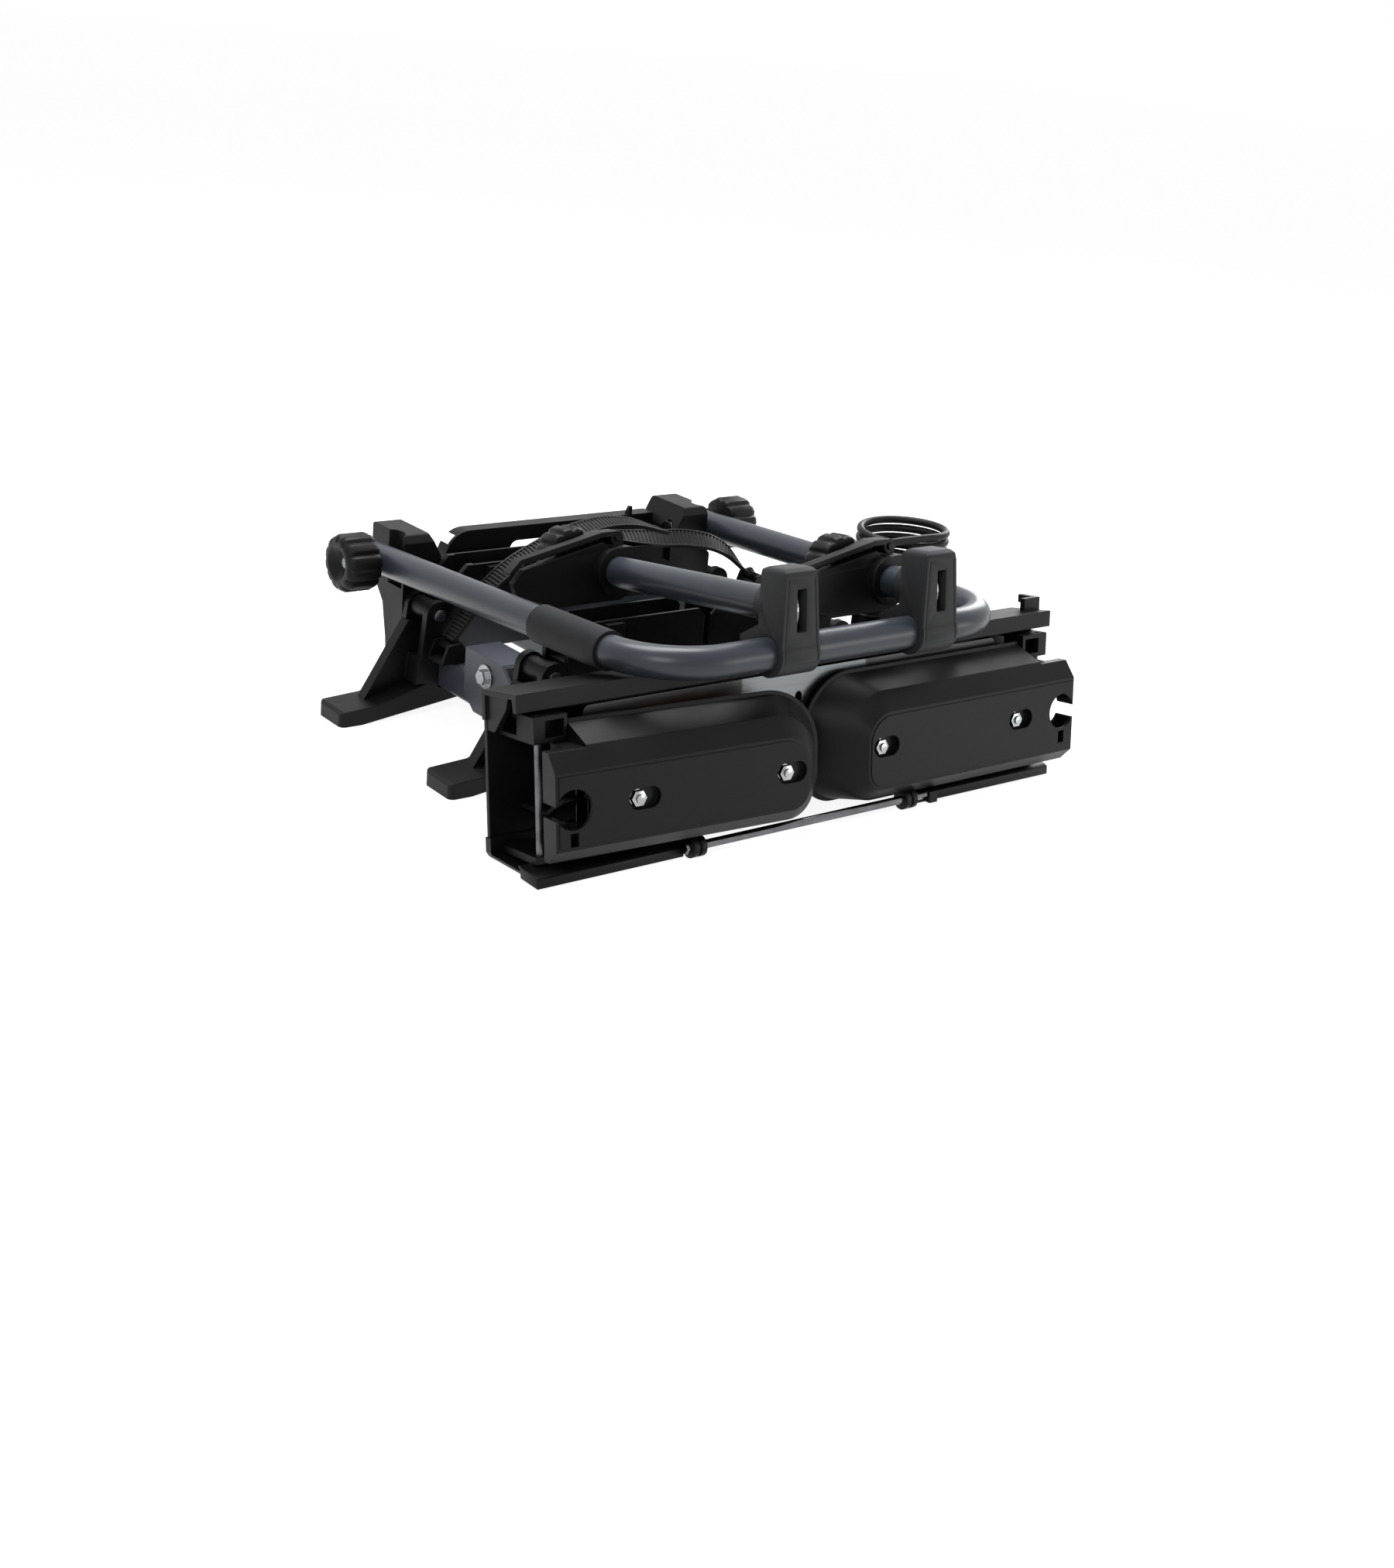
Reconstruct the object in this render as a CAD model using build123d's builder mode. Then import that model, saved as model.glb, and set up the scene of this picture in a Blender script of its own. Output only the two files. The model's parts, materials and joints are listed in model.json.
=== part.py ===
from build123d import *
import os
from math import atan2, cos, hypot, radians, sin, sqrt

# Tow bar bike carrier for two bikes, folded for storage. Millimetres, +Z up.
# X runs across the car, +Y runs from the number plate panel towards the car.
# The origin lies on the ground under the middle of the carrier's outline.

# Frame tube, folded down over the platform
tube_d = 30.0
tube_wall = 1.8
frame_w = 417.0
corner_r = 70.0
front_z = 176.6
front_y = -287.2
pivot_y = 459.0
pivot_z = 148.0
arm_tail = 20.0
sleeve_start = 71.0
sleeve_length = 103.0
sleeve_wall = 3.0

# Fits and clearances
run_fit = 0.1
seat_gap = 0.3

# Clamping knobs and the bolts they turn on
knob_r = 30.0
knob_t = 44.0
flute_r = 5.0
flute_count = 12
bolt_r = 5.0
bolt_head_af = 16.0
bolt_head_t = 6.4
bolt_reach = 28.0

# Lean of the panel and of the frame's clamps, top edge towards the car
lean_deg = 8.53

# Pivot blocks
block_in = 150.0
block_top = 174.0
block_far = 506.0
block_foot = 38.0
groove_r = 15.2
groove_depth = 8.0

# Beams of the platform
beam_out = 175.0
beam_w = 40.0
beam_h = 34.0
beam_z = 28.0
beam_wall = 2.5
beam_start = 82.2
beam_end = 486.0
cross_d = 29.4

# Legs, one pair under each wheel tray
tray_pitch = 204.0
leg_a_y = 396.0
leg_w = 46.0
leg_out = 285.0
lug_x = 178.0
lug_z = 104.0
lug_r = 14.0
lug_t = 8.0
hinge_pin_r = 4.0

# Folded halves of the wheel trays
tray_top = 152.5
tray_floor = 98.0
tray_wall = 3.0
tray_middle_gap = 8.0

# Number plate panel, in leaned depth and height from the front tube
panel_half = 322.0
panel_front = 45.0
panel_depth = 53.0
rail_top = -13.0
rail_drop = 16.0
panel_wall = 4.0
low_rail_top = -160.5
low_rail_end_left = -160.0
low_rail_end_right = 132.0
plate_t = 1.5
plate_d = 52.0

# Light units, each hinged on an upright rod at an end of the panel
rod_x = 302.0
rod_r = 3.0
unit_tail = 14.5
unit_length = 295.0
unit_top = -57.0
unit_height = 95.0
unit_back = 8.0
unit_front = 45.0
unit_draft = 14.5
unit_wall = 2.5
left_swing_deg = 7.5
nut_af = 13.0
nut_inner = 205.0
nut_outer = 68.0
keyhole_r = 18.0
keyhole_u = 14.0

# Frame holder arms: clamp, tube and head
arm_h = 39.0
arm_x = (-68.0, 101.0)
head_d = (257.0, 54.0)
head_depth = 46.0
clamp_front = 20.0
clamp_back = 14.0
clamp_top_w = 34.0
clamp_low_w = 51.0
collar_r = 19.5
collar_t = 18.0
band_t = 3.5
band_w = 34.0
band_pin_r = 3.0
stud_r = 4.0

# Tow ball coupling
ball_r = 25.0
coupling_y = 590.0
coupling_r = 37.0
coupling_neck = 80.0
coupling_top = 84.0
jaw_w = 34.0
jaw_top = 49.0
ball_z = 46.0
lever_pivot = (568.0, 98.0)
lever_pin_r = 4.0

# Cable of the light units and the plug lead
light_cable_r = 3.0
lead_r = 4.0
coil_x = 247.0
coil_y = 190.0
coil_z = 180.5
coil_r = 44.0
coil_turns = 3
coil_pitch = 9.0
gland_x = 221.0
plug_x = 172.0

tube_r = tube_d / 2
beam_top = beam_z + beam_h
block_near = leg_a_y + leg_w + seat_gap
cross_h = tray_floor - seat_gap - beam_top
arm_side = frame_w / 2
lean = Plane(
    origin=(0, front_y, front_z),
    x_dir=(1, 0, 0),
    z_dir=(0, sin(radians(lean_deg)), cos(radians(lean_deg))),
)
arm_slope = atan2(front_z - pivot_z, pivot_y)
u_plane = Plane(
    origin=(0, front_y, front_z), x_dir=(1, 0, 0), z_dir=(0, sin(arm_slope), cos(arm_slope))
)
arm_reach = hypot(pivot_y, front_z - pivot_z)
block_out = arm_side - tube_r - seat_gap
leg_b_y = leg_a_y - tray_pitch


def across(y):
    """Upright plane facing the panel at depth y, drawn in X and Z."""
    return Plane(origin=(0, front_y + y, 0), x_dir=(1, 0, 0), z_dir=(0, -1, 0))


def along(x):
    """Upright plane facing +X, drawn in depth and Z."""
    return Plane(origin=(x, front_y, 0), x_dir=(0, 1, 0), z_dir=(1, 0, 0))


def level(z):
    """Level plane at height z, drawn in X and depth."""
    return Plane(origin=(0, front_y, z), x_dir=(1, 0, 0), z_dir=(0, 0, 1))


def lean_front(d):
    """Leaned plane facing away from the car at leaned depth d."""
    return Plane(origin=lean.from_local_coords((0, d, 0)), x_dir=(1, 0, 0), z_dir=-lean.y_dir)


def lean_side(x):
    """Leaned plane facing +X, drawn in leaned depth and height."""
    return Plane(origin=lean.from_local_coords((x, 0, 0)), x_dir=lean.y_dir, z_dir=(1, 0, 0))


def outline(points):
    """Closed straight-sided face in the sketch that is open."""
    with BuildLine() as rim:
        Polyline(*points, close=True)
    make_face(rim.edges())


def save(part, label):
    part.label = label
    export_step(part, f"parts/{label}.step")


def mirrored(part):
    """The same piece for the other side of the carrier."""
    with BuildPart() as twin:
        mirror(part, about=Plane.YZ)
    return twin.part


def make_u_tube():
    half = arm_side
    end = arm_reach + arm_tail
    with BuildPart() as body:
        with BuildLine(u_plane) as path:
            FilletPolyline((-half, end), (-half, 0), (half, 0), (half, end), radius=corner_r)
        with BuildSketch(Plane(origin=path.line @ 0, z_dir=path.line % 0)):
            Circle(tube_r)
            Circle(tube_r - tube_wall, mode=Mode.SUBTRACT)
        sweep(path=path.wires()[0])
        with BuildSketch(along(-half - tube_d)):
            with Locations((pivot_y, pivot_z)):
                Circle(bolt_r + run_fit)
        extrude(amount=frame_w + 2 * tube_d, mode=Mode.SUBTRACT)
    return body.part


def make_sleeve():
    start = u_plane.from_local_coords((-arm_side, sleeve_start, 0))
    with BuildPart() as body:
        with BuildSketch(Plane(origin=start, z_dir=u_plane.y_dir)):
            Circle(tube_r + sleeve_wall)
            Circle(tube_r + 0.05, mode=Mode.SUBTRACT)
        extrude(amount=sleeve_length)
        chamfer(body.edges().filter_by(GeomType.CIRCLE).sort_by(Axis.Y)[-1], 1.0)
    return body.part


def make_knob(seat, bore_r, bore_depth, thick):
    """Fluted knob with a cone in its crown; seat is its inner face, facing outward."""
    radial = Plane(origin=seat.origin, x_dir=seat.x_dir, z_dir=-seat.y_dir)
    spin = Axis(seat.origin, seat.z_dir)
    rim = 4.5
    with BuildPart() as body:
        with BuildSketch(seat):
            Circle(knob_r)
            with PolarLocations(knob_r + flute_r * 0.7, flute_count):
                Circle(flute_r, mode=Mode.SUBTRACT)
        extrude(amount=thick)
        with BuildSketch(radial):
            outline([
                (0, 0), (knob_r - 2, 0), (knob_r, 5), (knob_r, thick - 7), (knob_r - 5, thick),
                (17, thick), (bore_r, thick - 10), (0, thick - 10),
            ])
        revolve(axis=spin, mode=Mode.INTERSECT)
        with BuildSketch(seat):
            Circle(knob_r - 2 * rim)
            Circle(bore_r + rim, mode=Mode.SUBTRACT)
            with PolarLocations(0, 3):
                Rectangle(2 * knob_r, 3, mode=Mode.SUBTRACT)
        extrude(amount=thick - 14, mode=Mode.SUBTRACT)
        with BuildSketch(seat):
            Circle(bore_r + run_fit)
        extrude(amount=bore_depth, mode=Mode.SUBTRACT)
    return body.part


def make_pivot_block():
    """Left block that carries the frame's pivot, with the groove that the raised arm lies in."""
    mouth = -block_out - groove_r + groove_depth
    with BuildPart() as body:
        with BuildSketch(along(-block_out)):
            outline([
                (block_near, block_foot), (block_near, block_top - 8),
                (block_near + 5, block_top), (block_far, block_top), (block_far, 124),
                (482, 96), (474, 60), (472, block_foot),
            ])
        extrude(amount=block_out - block_in)
        with BuildSketch(across(block_near)):
            outline([
                (-block_out, block_foot), (-block_out, block_top), (-block_in - 13, block_top),
                (-block_in, block_top - 24), (-block_in, block_foot),
            ])
        extrude(amount=-(block_far - block_near), mode=Mode.INTERSECT)
        fillet(body.edges().filter_by(Axis.X).group_by(Axis.Z)[-1], 4)
        with BuildSketch(across(block_near)):
            with Locations((-beam_out - seat_gap, block_foot - 1)):
                Rectangle(
                    beam_out, beam_top + seat_gap - block_foot + 1, align=(Align.MIN, Align.MIN)
                )
        extrude(amount=-(block_far - block_near), mode=Mode.SUBTRACT)
        with BuildSketch(level(119)):
            with Locations((mouth, pivot_y)):
                Circle(groove_r)
        extrude(amount=block_top, mode=Mode.SUBTRACT)
        with BuildSketch(along(-block_out)):
            with Locations((pivot_y, pivot_z)):
                Circle(bolt_r + 0.05)
        extrude(amount=block_out, mode=Mode.SUBTRACT)
        with BuildSketch(along(-block_in - bolt_head_t - 1.6)):
            with Locations((pivot_y, pivot_z)):
                Circle(bolt_head_af * 0.6)
        extrude(amount=block_in, mode=Mode.SUBTRACT)
    return body.part


def make_pivot_bolts():
    """Both pivot bolts, their heads sunk in the inner faces of the blocks."""
    head_x = block_in + bolt_head_t + 1.6
    tip = arm_side + tube_r + bolt_reach
    with BuildPart() as body:
        for side in (-1, 1):
            with BuildSketch(along(side * head_x)):
                with Locations((pivot_y, pivot_z)):
                    RegularPolygon(bolt_head_af / 2, 6, major_radius=False)
            extrude(amount=-side * bolt_head_t)
            with BuildSketch(along(side * head_x)):
                with Locations((pivot_y, pivot_z)):
                    Circle(bolt_r)
            extrude(amount=side * (tip - head_x))
    return body.part


def make_leg(y):
    """Left leg with its foot, gusset and the pair of lugs for a tray hinge."""
    web_y = y + 22
    web_t = 13.0
    side = -beam_out - seat_gap
    under = beam_z - seat_gap
    over = beam_top + seat_gap
    with BuildPart() as body:
        with BuildSketch(across(y)):
            outline([
                (-leg_out, 0), (-leg_out + 24, 0), (-112, 20), (-112, 58), (-118, 60), (-128, 54),
                (-128, under), (side, under), (side, 38), (-240, 18), (-leg_out + 4, 15.5),
                (-leg_out, 13),
            ])
        extrude(amount=-leg_w)
        fillet(body.edges().filter_by(Axis.Z).group_by(Axis.X)[0], 6)
        with BuildSketch(across(web_y)):
            outline([(-250, 14), (-200, 95), (-188, 90), (side, 84), (side, 30)])
        extrude(amount=-web_t)
        with BuildSketch(across(y)):
            outline([(-202, 34), (side, 34), (side, 58), (-198, 62)])
        extrude(amount=-leg_w)
        for lug_y in (y, y + leg_w - lug_t):
            with BuildSketch(across(lug_y)):
                with Locations((-lug_x, lug_z)):
                    Circle(lug_r)
                outline([
                    (-lug_x - lug_r, lug_z), (-lug_x + lug_r, lug_z),
                    (-lug_x + lug_r, tray_floor - 2), (-152, 72), (-152, over),
                    (side, over), (side, 40), (-198, 50),
                ])
            extrude(amount=-lug_t)
        with BuildSketch(across(y - 1)):
            with Locations((-lug_x, lug_z)):
                Circle(hinge_pin_r + 0.05)
        extrude(amount=-(leg_w + 2), mode=Mode.SUBTRACT)
    return body.part


def make_hinge_pins():
    """The headed pins on which the four tray halves fold."""
    head_t = 2.0
    with BuildPart() as body:
        for y in (leg_a_y, leg_b_y):
            for x in (-lug_x, lug_x):
                with BuildSketch(across(y)):
                    with Locations((x, lug_z)):
                        Circle(hinge_pin_r)
                extrude(amount=-leg_w)
                with BuildSketch(across(y - head_t)):
                    with Locations((x, lug_z)):
                        Circle(hinge_pin_r + 2)
                extrude(amount=-head_t)
    return body.part


def make_tray(y):
    """Left half of a wheel tray, folded in: floor down, both ribbed walls up."""
    start = -lug_x + lug_r + 1
    end = -tray_middle_gap / 2
    knuckle_y = y + lug_t + 0.4
    knuckle_w = leg_w - 2 * lug_t - 0.8
    width = leg_w - 3
    with BuildPart() as body:
        with BuildSketch(across(y + 1)):
            outline([
                (start, tray_floor), (start, 136), (start + 17, tray_top), (end - 8, tray_top),
                (end, tray_top - 8), (end, tray_floor),
            ])
        extrude(amount=-width)
        with BuildSketch(across(y + 1 + tray_wall)):
            outline([
                (start - 1, tray_floor + tray_wall), (start - 1, tray_top + 1),
                (end + 1, tray_top + 1), (end + 1, tray_floor + tray_wall),
            ])
        extrude(amount=-(width - 2 * tray_wall), mode=Mode.SUBTRACT)
        for rib_x in (-128, -86, -44):
            with BuildSketch(along(rib_x)):
                outline([
                    (y + 2, tray_floor + 1), (y + width, tray_floor + 1),
                    (y + width, tray_top - 6), (y + width - 9, tray_floor + 12),
                    (y + 11, tray_floor + 12), (y + 2, tray_top - 6),
                ])
            extrude(amount=2.5)
        for post_y in (y + 1, y + width - 5):
            with BuildSketch(across(post_y)):
                outline([
                    (start, tray_floor), (start, 136), (start + 17, tray_top),
                    (start + 24, tray_top), (start + 24, tray_floor),
                ])
            extrude(amount=-6)
        with BuildSketch(across(y - 4.5)):
            outline([(-124, 134), (-104, 134), (-104, 150), (-124, 150)])
        extrude(amount=-6)
        with BuildSketch(across(knuckle_y)):
            with Locations((-lug_x, lug_z)):
                Circle(lug_r - 3)
            outline([
                (-lug_x, tray_floor - 3), (start + 4, tray_floor), (start + 4, lug_z + 4),
                (-lug_x, lug_z + 8),
            ])
        extrude(amount=-knuckle_w)
        with BuildSketch(across(knuckle_y)):
            with Locations((-lug_x, lug_z)):
                Circle(hinge_pin_r + run_fit)
        extrude(amount=-knuckle_w, mode=Mode.SUBTRACT)
    return body.part


def make_long_beams():
    with BuildPart() as body:
        for x in (-beam_out + beam_w / 2, beam_out - beam_w / 2):
            with BuildSketch(across(beam_start)):
                with Locations((x, beam_z + beam_h / 2)):
                    RectangleRounded(beam_w, beam_h, 4)
                    Rectangle(beam_w - 2 * beam_wall, beam_h - 2 * beam_wall, mode=Mode.SUBTRACT)
            extrude(amount=-(beam_end - beam_start))
    return body.part


def make_cross_beams():
    """Centre beam from the panel to the coupling, with the two cross beams welded on top."""
    with BuildPart() as body:
        with BuildSketch(across(beam_start)):
            with Locations((0, beam_z + beam_h / 2)):
                RectangleRounded(60, beam_h, 5)
        extrude(amount=-(coupling_y - coupling_neck - beam_start))
        for y in (leg_a_y + leg_w / 2, leg_b_y + leg_w / 2):
            with BuildSketch(along(-block_in)):
                with Locations((y, beam_top + cross_h / 2)):
                    Rectangle(cross_d, cross_h)
            extrude(amount=2 * block_in)
        with BuildSketch(across(beam_start - 1)):
            with Locations((0, beam_z + beam_h / 2)):
                Rectangle(60 - 2 * beam_wall, beam_h - 2 * beam_wall)
        extrude(amount=-(coupling_y - coupling_neck - beam_start + 2), mode=Mode.SUBTRACT)
        for y in (leg_a_y + leg_w / 2, leg_b_y + leg_w / 2):
            with BuildSketch(along(-block_in - 1)):
                with Locations((y, beam_top + cross_h / 2)):
                    Rectangle(cross_d - 2 * beam_wall, cross_h - 2 * beam_wall)
            extrude(amount=2 * block_in + 2, mode=Mode.SUBTRACT)
    return body.part


def make_beam_brackets():
    """Zinc plated angle pieces on the outer sides of the long beams, above their edges."""
    y0 = leg_b_y + leg_w + 4
    length = 84.0
    reach = 15.0
    low = beam_z + 6
    high = 95.0
    t = 3.0
    with BuildPart() as body:
        for side in (-1, 1):
            with BuildSketch(across(y0)):
                outline([
                    (side * beam_out, low), (side * (beam_out + reach), low),
                    (side * (beam_out + reach), high), (side * (beam_out - 24), high),
                    (side * (beam_out - 24), beam_top), (side * (beam_out - 24 + t), beam_top),
                    (side * (beam_out - 24 + t), high - t), (side * (beam_out + reach - t), high - t),
                    (side * (beam_out + reach - t), low + t), (side * beam_out, low + t),
                ])
            extrude(amount=-length)
            with BuildSketch(along(side * (beam_out + reach + 1))):
                outline([(y0 - 1, high + 1), (y0 - 1, high - 18), (y0 + 22, high + 1)])
                outline([(y0 + length + 1, low - 1), (y0 + length + 1, low + 16),
                         (y0 + length - 20, low - 1)])
            extrude(amount=-side * 60, mode=Mode.SUBTRACT)
    return body.part


def make_beam_bolts():
    """Hexagon bolts with their washers on the brackets."""
    x0 = beam_out + 15
    y = leg_b_y + leg_w + 50
    z = 76.0
    washer_t = 1.8
    head_t = 5.5
    with BuildPart() as body:
        for side in (-1, 1):
            with BuildSketch(along(side * x0)):
                with Locations((y, z)):
                    Circle(12)
            extrude(amount=side * washer_t)
            with BuildSketch(along(side * (x0 + washer_t))):
                with Locations((y, z)):
                    RegularPolygon(nut_af / 2, 6, major_radius=False)
            extrude(amount=side * head_t)
    return body.part


def make_rear_member():
    """Moulded cross member behind the trays, with a rolled lip and a foot on the centre beam."""
    low = 108.0
    top = 160.0
    y0 = 486.0
    x0 = -118.0
    x1 = block_in
    span = x1 - x0
    height = top - low
    with BuildPart() as body:
        with BuildSketch(across(y0)):
            with Locations(((x0 + x1) / 2, (low + top) / 2)):
                Rectangle(span, height)
            fillet(vertices().group_by(Axis.X)[0].sort_by(Axis.Y)[-1], 30)
        extrude(amount=-4)
        with BuildSketch(across(y0)):
            with Locations(((x0 + x1) / 2, (low + top) / 2)):
                Rectangle(span, height)
            fillet(vertices().group_by(Axis.X)[0].sort_by(Axis.Y)[-1], 30)
            with Locations(((x0 + x1) / 2 + 5, (low + top) / 2 - 5)):
                Rectangle(span, height, mode=Mode.SUBTRACT)
        extrude(amount=-18)
        with BuildSketch(across(y0)):
            with Locations(((x0 + x1) / 2, low + 4)):
                Rectangle(span - 10, 8)
            with Locations((0, (beam_top + low) / 2 + 2)):
                Rectangle(44, low - beam_top + 4)
        extrude(amount=-18)
        with BuildSketch(across(y0 - 1)):
            with Locations((10, low + 26)):
                SlotOverall(96, 20)
        extrude(amount=-8, mode=Mode.SUBTRACT)
        with BuildSketch(along(117)):
            outline([(y0, top - 2), (y0 + 9, top - 2), (y0 + 4, top + 9), (y0, top + 9)])
        extrude(amount=4)
    return body.part


def make_panel_frame():
    """Moulded panel that carries the number plate and the light units."""
    back = panel_front + panel_depth
    w = panel_half
    with BuildPart() as body:
        with BuildSketch(lean_side(-w)):
            outline([
                (panel_front, rail_top), (panel_front, rail_top - rail_drop),
                (panel_front + 5, rail_top - rail_drop), (panel_front + 7, rail_top - 5),
                (back - 5, rail_top - 8), (back - 5, rail_top - 30), (back, rail_top - 30),
                (back, rail_top - 4),
            ])
        extrude(amount=2 * w)
        with BuildSketch(lean_front(back - panel_wall)):
            outline([(-w + 2, -176), (w - 2, -176), (w - 2, rail_top - 8), (-w + 2, rail_top - 8)])
        extrude(amount=-panel_wall)
        for side in (-1, 1):
            with BuildSketch(lean_side(side * (w - 5) - 2.5)):
                outline([
                    (panel_front + 16, rail_top - 5), (back, rail_top - 6), (back, -52),
                    (panel_front + 38, -52), (panel_front + 20, -30),
                ])
            extrude(amount=5)
        for x0, x1 in ((-w, low_rail_end_left), (low_rail_end_right, w)):
            with BuildSketch(lean_side(x0)):
                outline([
                    (panel_front, -184), (panel_front, low_rail_top),
                    (panel_front + 4, low_rail_top), (panel_front + 4, -167.2),
                    (back - 8, -161), (back - 8, low_rail_top + 14), (back, low_rail_top + 14),
                    (back, -184),
                ])
            extrude(amount=x1 - x0)
        for x in (low_rail_end_left + 2, low_rail_end_right - 2):
            with BuildSketch(lean_side(x - 5)):
                outline([(11, -163), (11, -174), (60, -171), (60, -163)])
            extrude(amount=10)
        for x in (low_rail_end_left + 2, low_rail_end_right - 2):
            with BuildSketch(lean_side(x - 6)):
                with Locations((16, -166)):
                    Circle(2.55)
            extrude(amount=12, mode=Mode.SUBTRACT)
        with BuildSketch(lean_front(back + 1)):
            for side in (-1, 1):
                outline([
                    (side * (w + 1), -186), (side * (w - 16), -186), (side * (w + 1), -158),
                ])
        extrude(amount=panel_depth + 4, mode=Mode.SUBTRACT)
        with BuildSketch(lean_side(w - 22)):
            outline([(60, rail_top - 4), (60, rail_top + 12), (66, rail_top + 12),
                     (66, rail_top - 4)])
        extrude(amount=22)
        with BuildSketch(lean_side(w - 6)):
            outline([(60, rail_top + 4), (60, rail_top + 12), (84, rail_top + 12),
                     (84, rail_top + 4)])
        extrude(amount=6)
        with BuildSketch(level(-60)):
            with Locations((0, 60)):
                Rectangle(2 * w + 40, 400)
        extrude(amount=60, mode=Mode.SUBTRACT)
    return body.part


def make_plate_backing():
    """Bright metal plate behind the number plate, with its upright fixing slot."""
    with BuildPart() as body:
        with BuildSketch(lean_front(plate_d)):
            with Locations((0, -92)):
                RectangleRounded(500, 118, 6)
            with Locations((-8, -68), (-150, -68), (150, -68)):
                SlotOverall(30, 8, rotation=90, mode=Mode.SUBTRACT)
        extrude(amount=-plate_t)
        for x in (-90, 90):
            with BuildSketch(lean_front(plate_d + plate_t)):
                with Locations((x, -80)):
                    Circle(9)
            extrude(amount=-(panel_front + panel_depth - panel_wall - plate_d - plate_t))
    return body.part


def make_hinge_rods():
    """The two upright rods on which the light units swing."""
    top = -34.0
    low = low_rail_top + seat_gap
    with BuildPart() as body:
        for side in (-1, 1):
            with BuildSketch(lean.offset(low)):
                with Locations((side * rod_x, panel_front)):
                    Circle(rod_r)
            extrude(amount=top - low)
    return body.part


def make_hinge_brackets():
    """Windowed boxes that hold the rods, above and below each light unit."""
    flange_d = panel_front + panel_depth - 5 - seat_gap
    upstand_d = panel_front + panel_depth - 8 - seat_gap
    with BuildPart() as body:
        for side in (-1, 1):
            for low, high, back in (
                (-56.0, -33.0, flange_d), (low_rail_top + seat_gap, low_rail_top + 7, upstand_d)
            ):
                with BuildSketch(lean.offset(low)):
                    outline([
                        (side * (rod_x + 8), panel_front - 7), (side * (rod_x - 26), panel_front - 7),
                        (side * (rod_x - 26), back), (side * (rod_x + 8), back),
                    ])
                extrude(amount=high - low)
                with BuildSketch(lean.offset(low)):
                    with Locations((side * rod_x, panel_front)):
                        Circle(rod_r + 0.05)
                extrude(amount=high - low, mode=Mode.SUBTRACT)
            with BuildSketch(lean_front(panel_front - 8)):
                with Locations((side * (rod_x - 13), -44.5)):
                    Rectangle(19, 15)
            extrude(amount=-14, mode=Mode.SUBTRACT)
            with BuildSketch(lean_side(side * (rod_x - 9) - 20)):
                with Locations((panel_front + 30, -44.5)):
                    Rectangle(22, 15)
            extrude(amount=50, mode=Mode.SUBTRACT)
    return body.part


def make_plate_rod():
    """Bright rod along the foot of the panel, with a rubber disc near each end."""
    x0 = low_rail_end_left + 2 - 5
    x1 = low_rail_end_right - 2 + 5
    with BuildPart() as body:
        with BuildSketch(lean_side(x0)):
            with Locations((16, -166)):
                Circle(2.5)
        extrude(amount=x1 - x0)
        for x in (low_rail_end_left + 22, low_rail_end_right - 28):
            with BuildSketch(lean_side(x)):
                with Locations((16, -166)):
                    Circle(8)
            extrude(amount=6)
    return body.part


class UnitFrame:
    """Planes of one light unit: u runs inward from its rod, h is the leaned height."""

    def __init__(self, side, swing_deg):
        self.side = side
        rod = lean.from_local_coords((side * rod_x, panel_front, 0))
        turn = radians(swing_deg)
        inward = lean.x_dir * (-side)
        outward_view = -lean.y_dir
        u_dir = inward * cos(turn) + outward_view * sin(turn)
        self.view = outward_view * cos(turn) - inward * sin(turn)
        self.inward = u_dir
        self.x_dir = u_dir * (-side)
        self.origin = rod

    def face(self, w):
        """Plane that faces away from the car, w in front of the rod."""
        return Plane(origin=self.origin + self.view * w, x_dir=self.x_dir, z_dir=self.view)

    def shelf(self, h):
        """Plane square to the rod at height h."""
        return Plane(origin=self.origin + lean.z_dir * h, x_dir=self.x_dir, z_dir=lean.z_dir)

    def u(self, value):
        return -self.side * value


def unit_outline(frame, inset, draft, corner):
    """Outline of a light unit, round at its inner end."""
    u0 = -unit_tail + inset
    u1 = unit_length - unit_tail - inset - draft
    top = unit_top - inset - draft
    low = unit_top - unit_height + inset + draft
    s = frame.u(1)
    bulge = corner * (1 - cos(radians(45)))
    with BuildLine() as rim:
        Line((s * u0, top), (s * (u1 - corner), top))
        ThreePointArc(
            (s * (u1 - corner), top), (s * (u1 - bulge), top - bulge), (s * u1, top - corner)
        )
        Line((s * u1, top - corner), (s * u1, low + corner))
        ThreePointArc(
            (s * u1, low + corner), (s * (u1 - bulge), low + bulge), (s * (u1 - corner), low)
        )
        Line((s * (u1 - corner), low), (s * u0, low))
        Line((s * u0, low), (s * u0, top))
    make_face(rim.edges())


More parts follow.
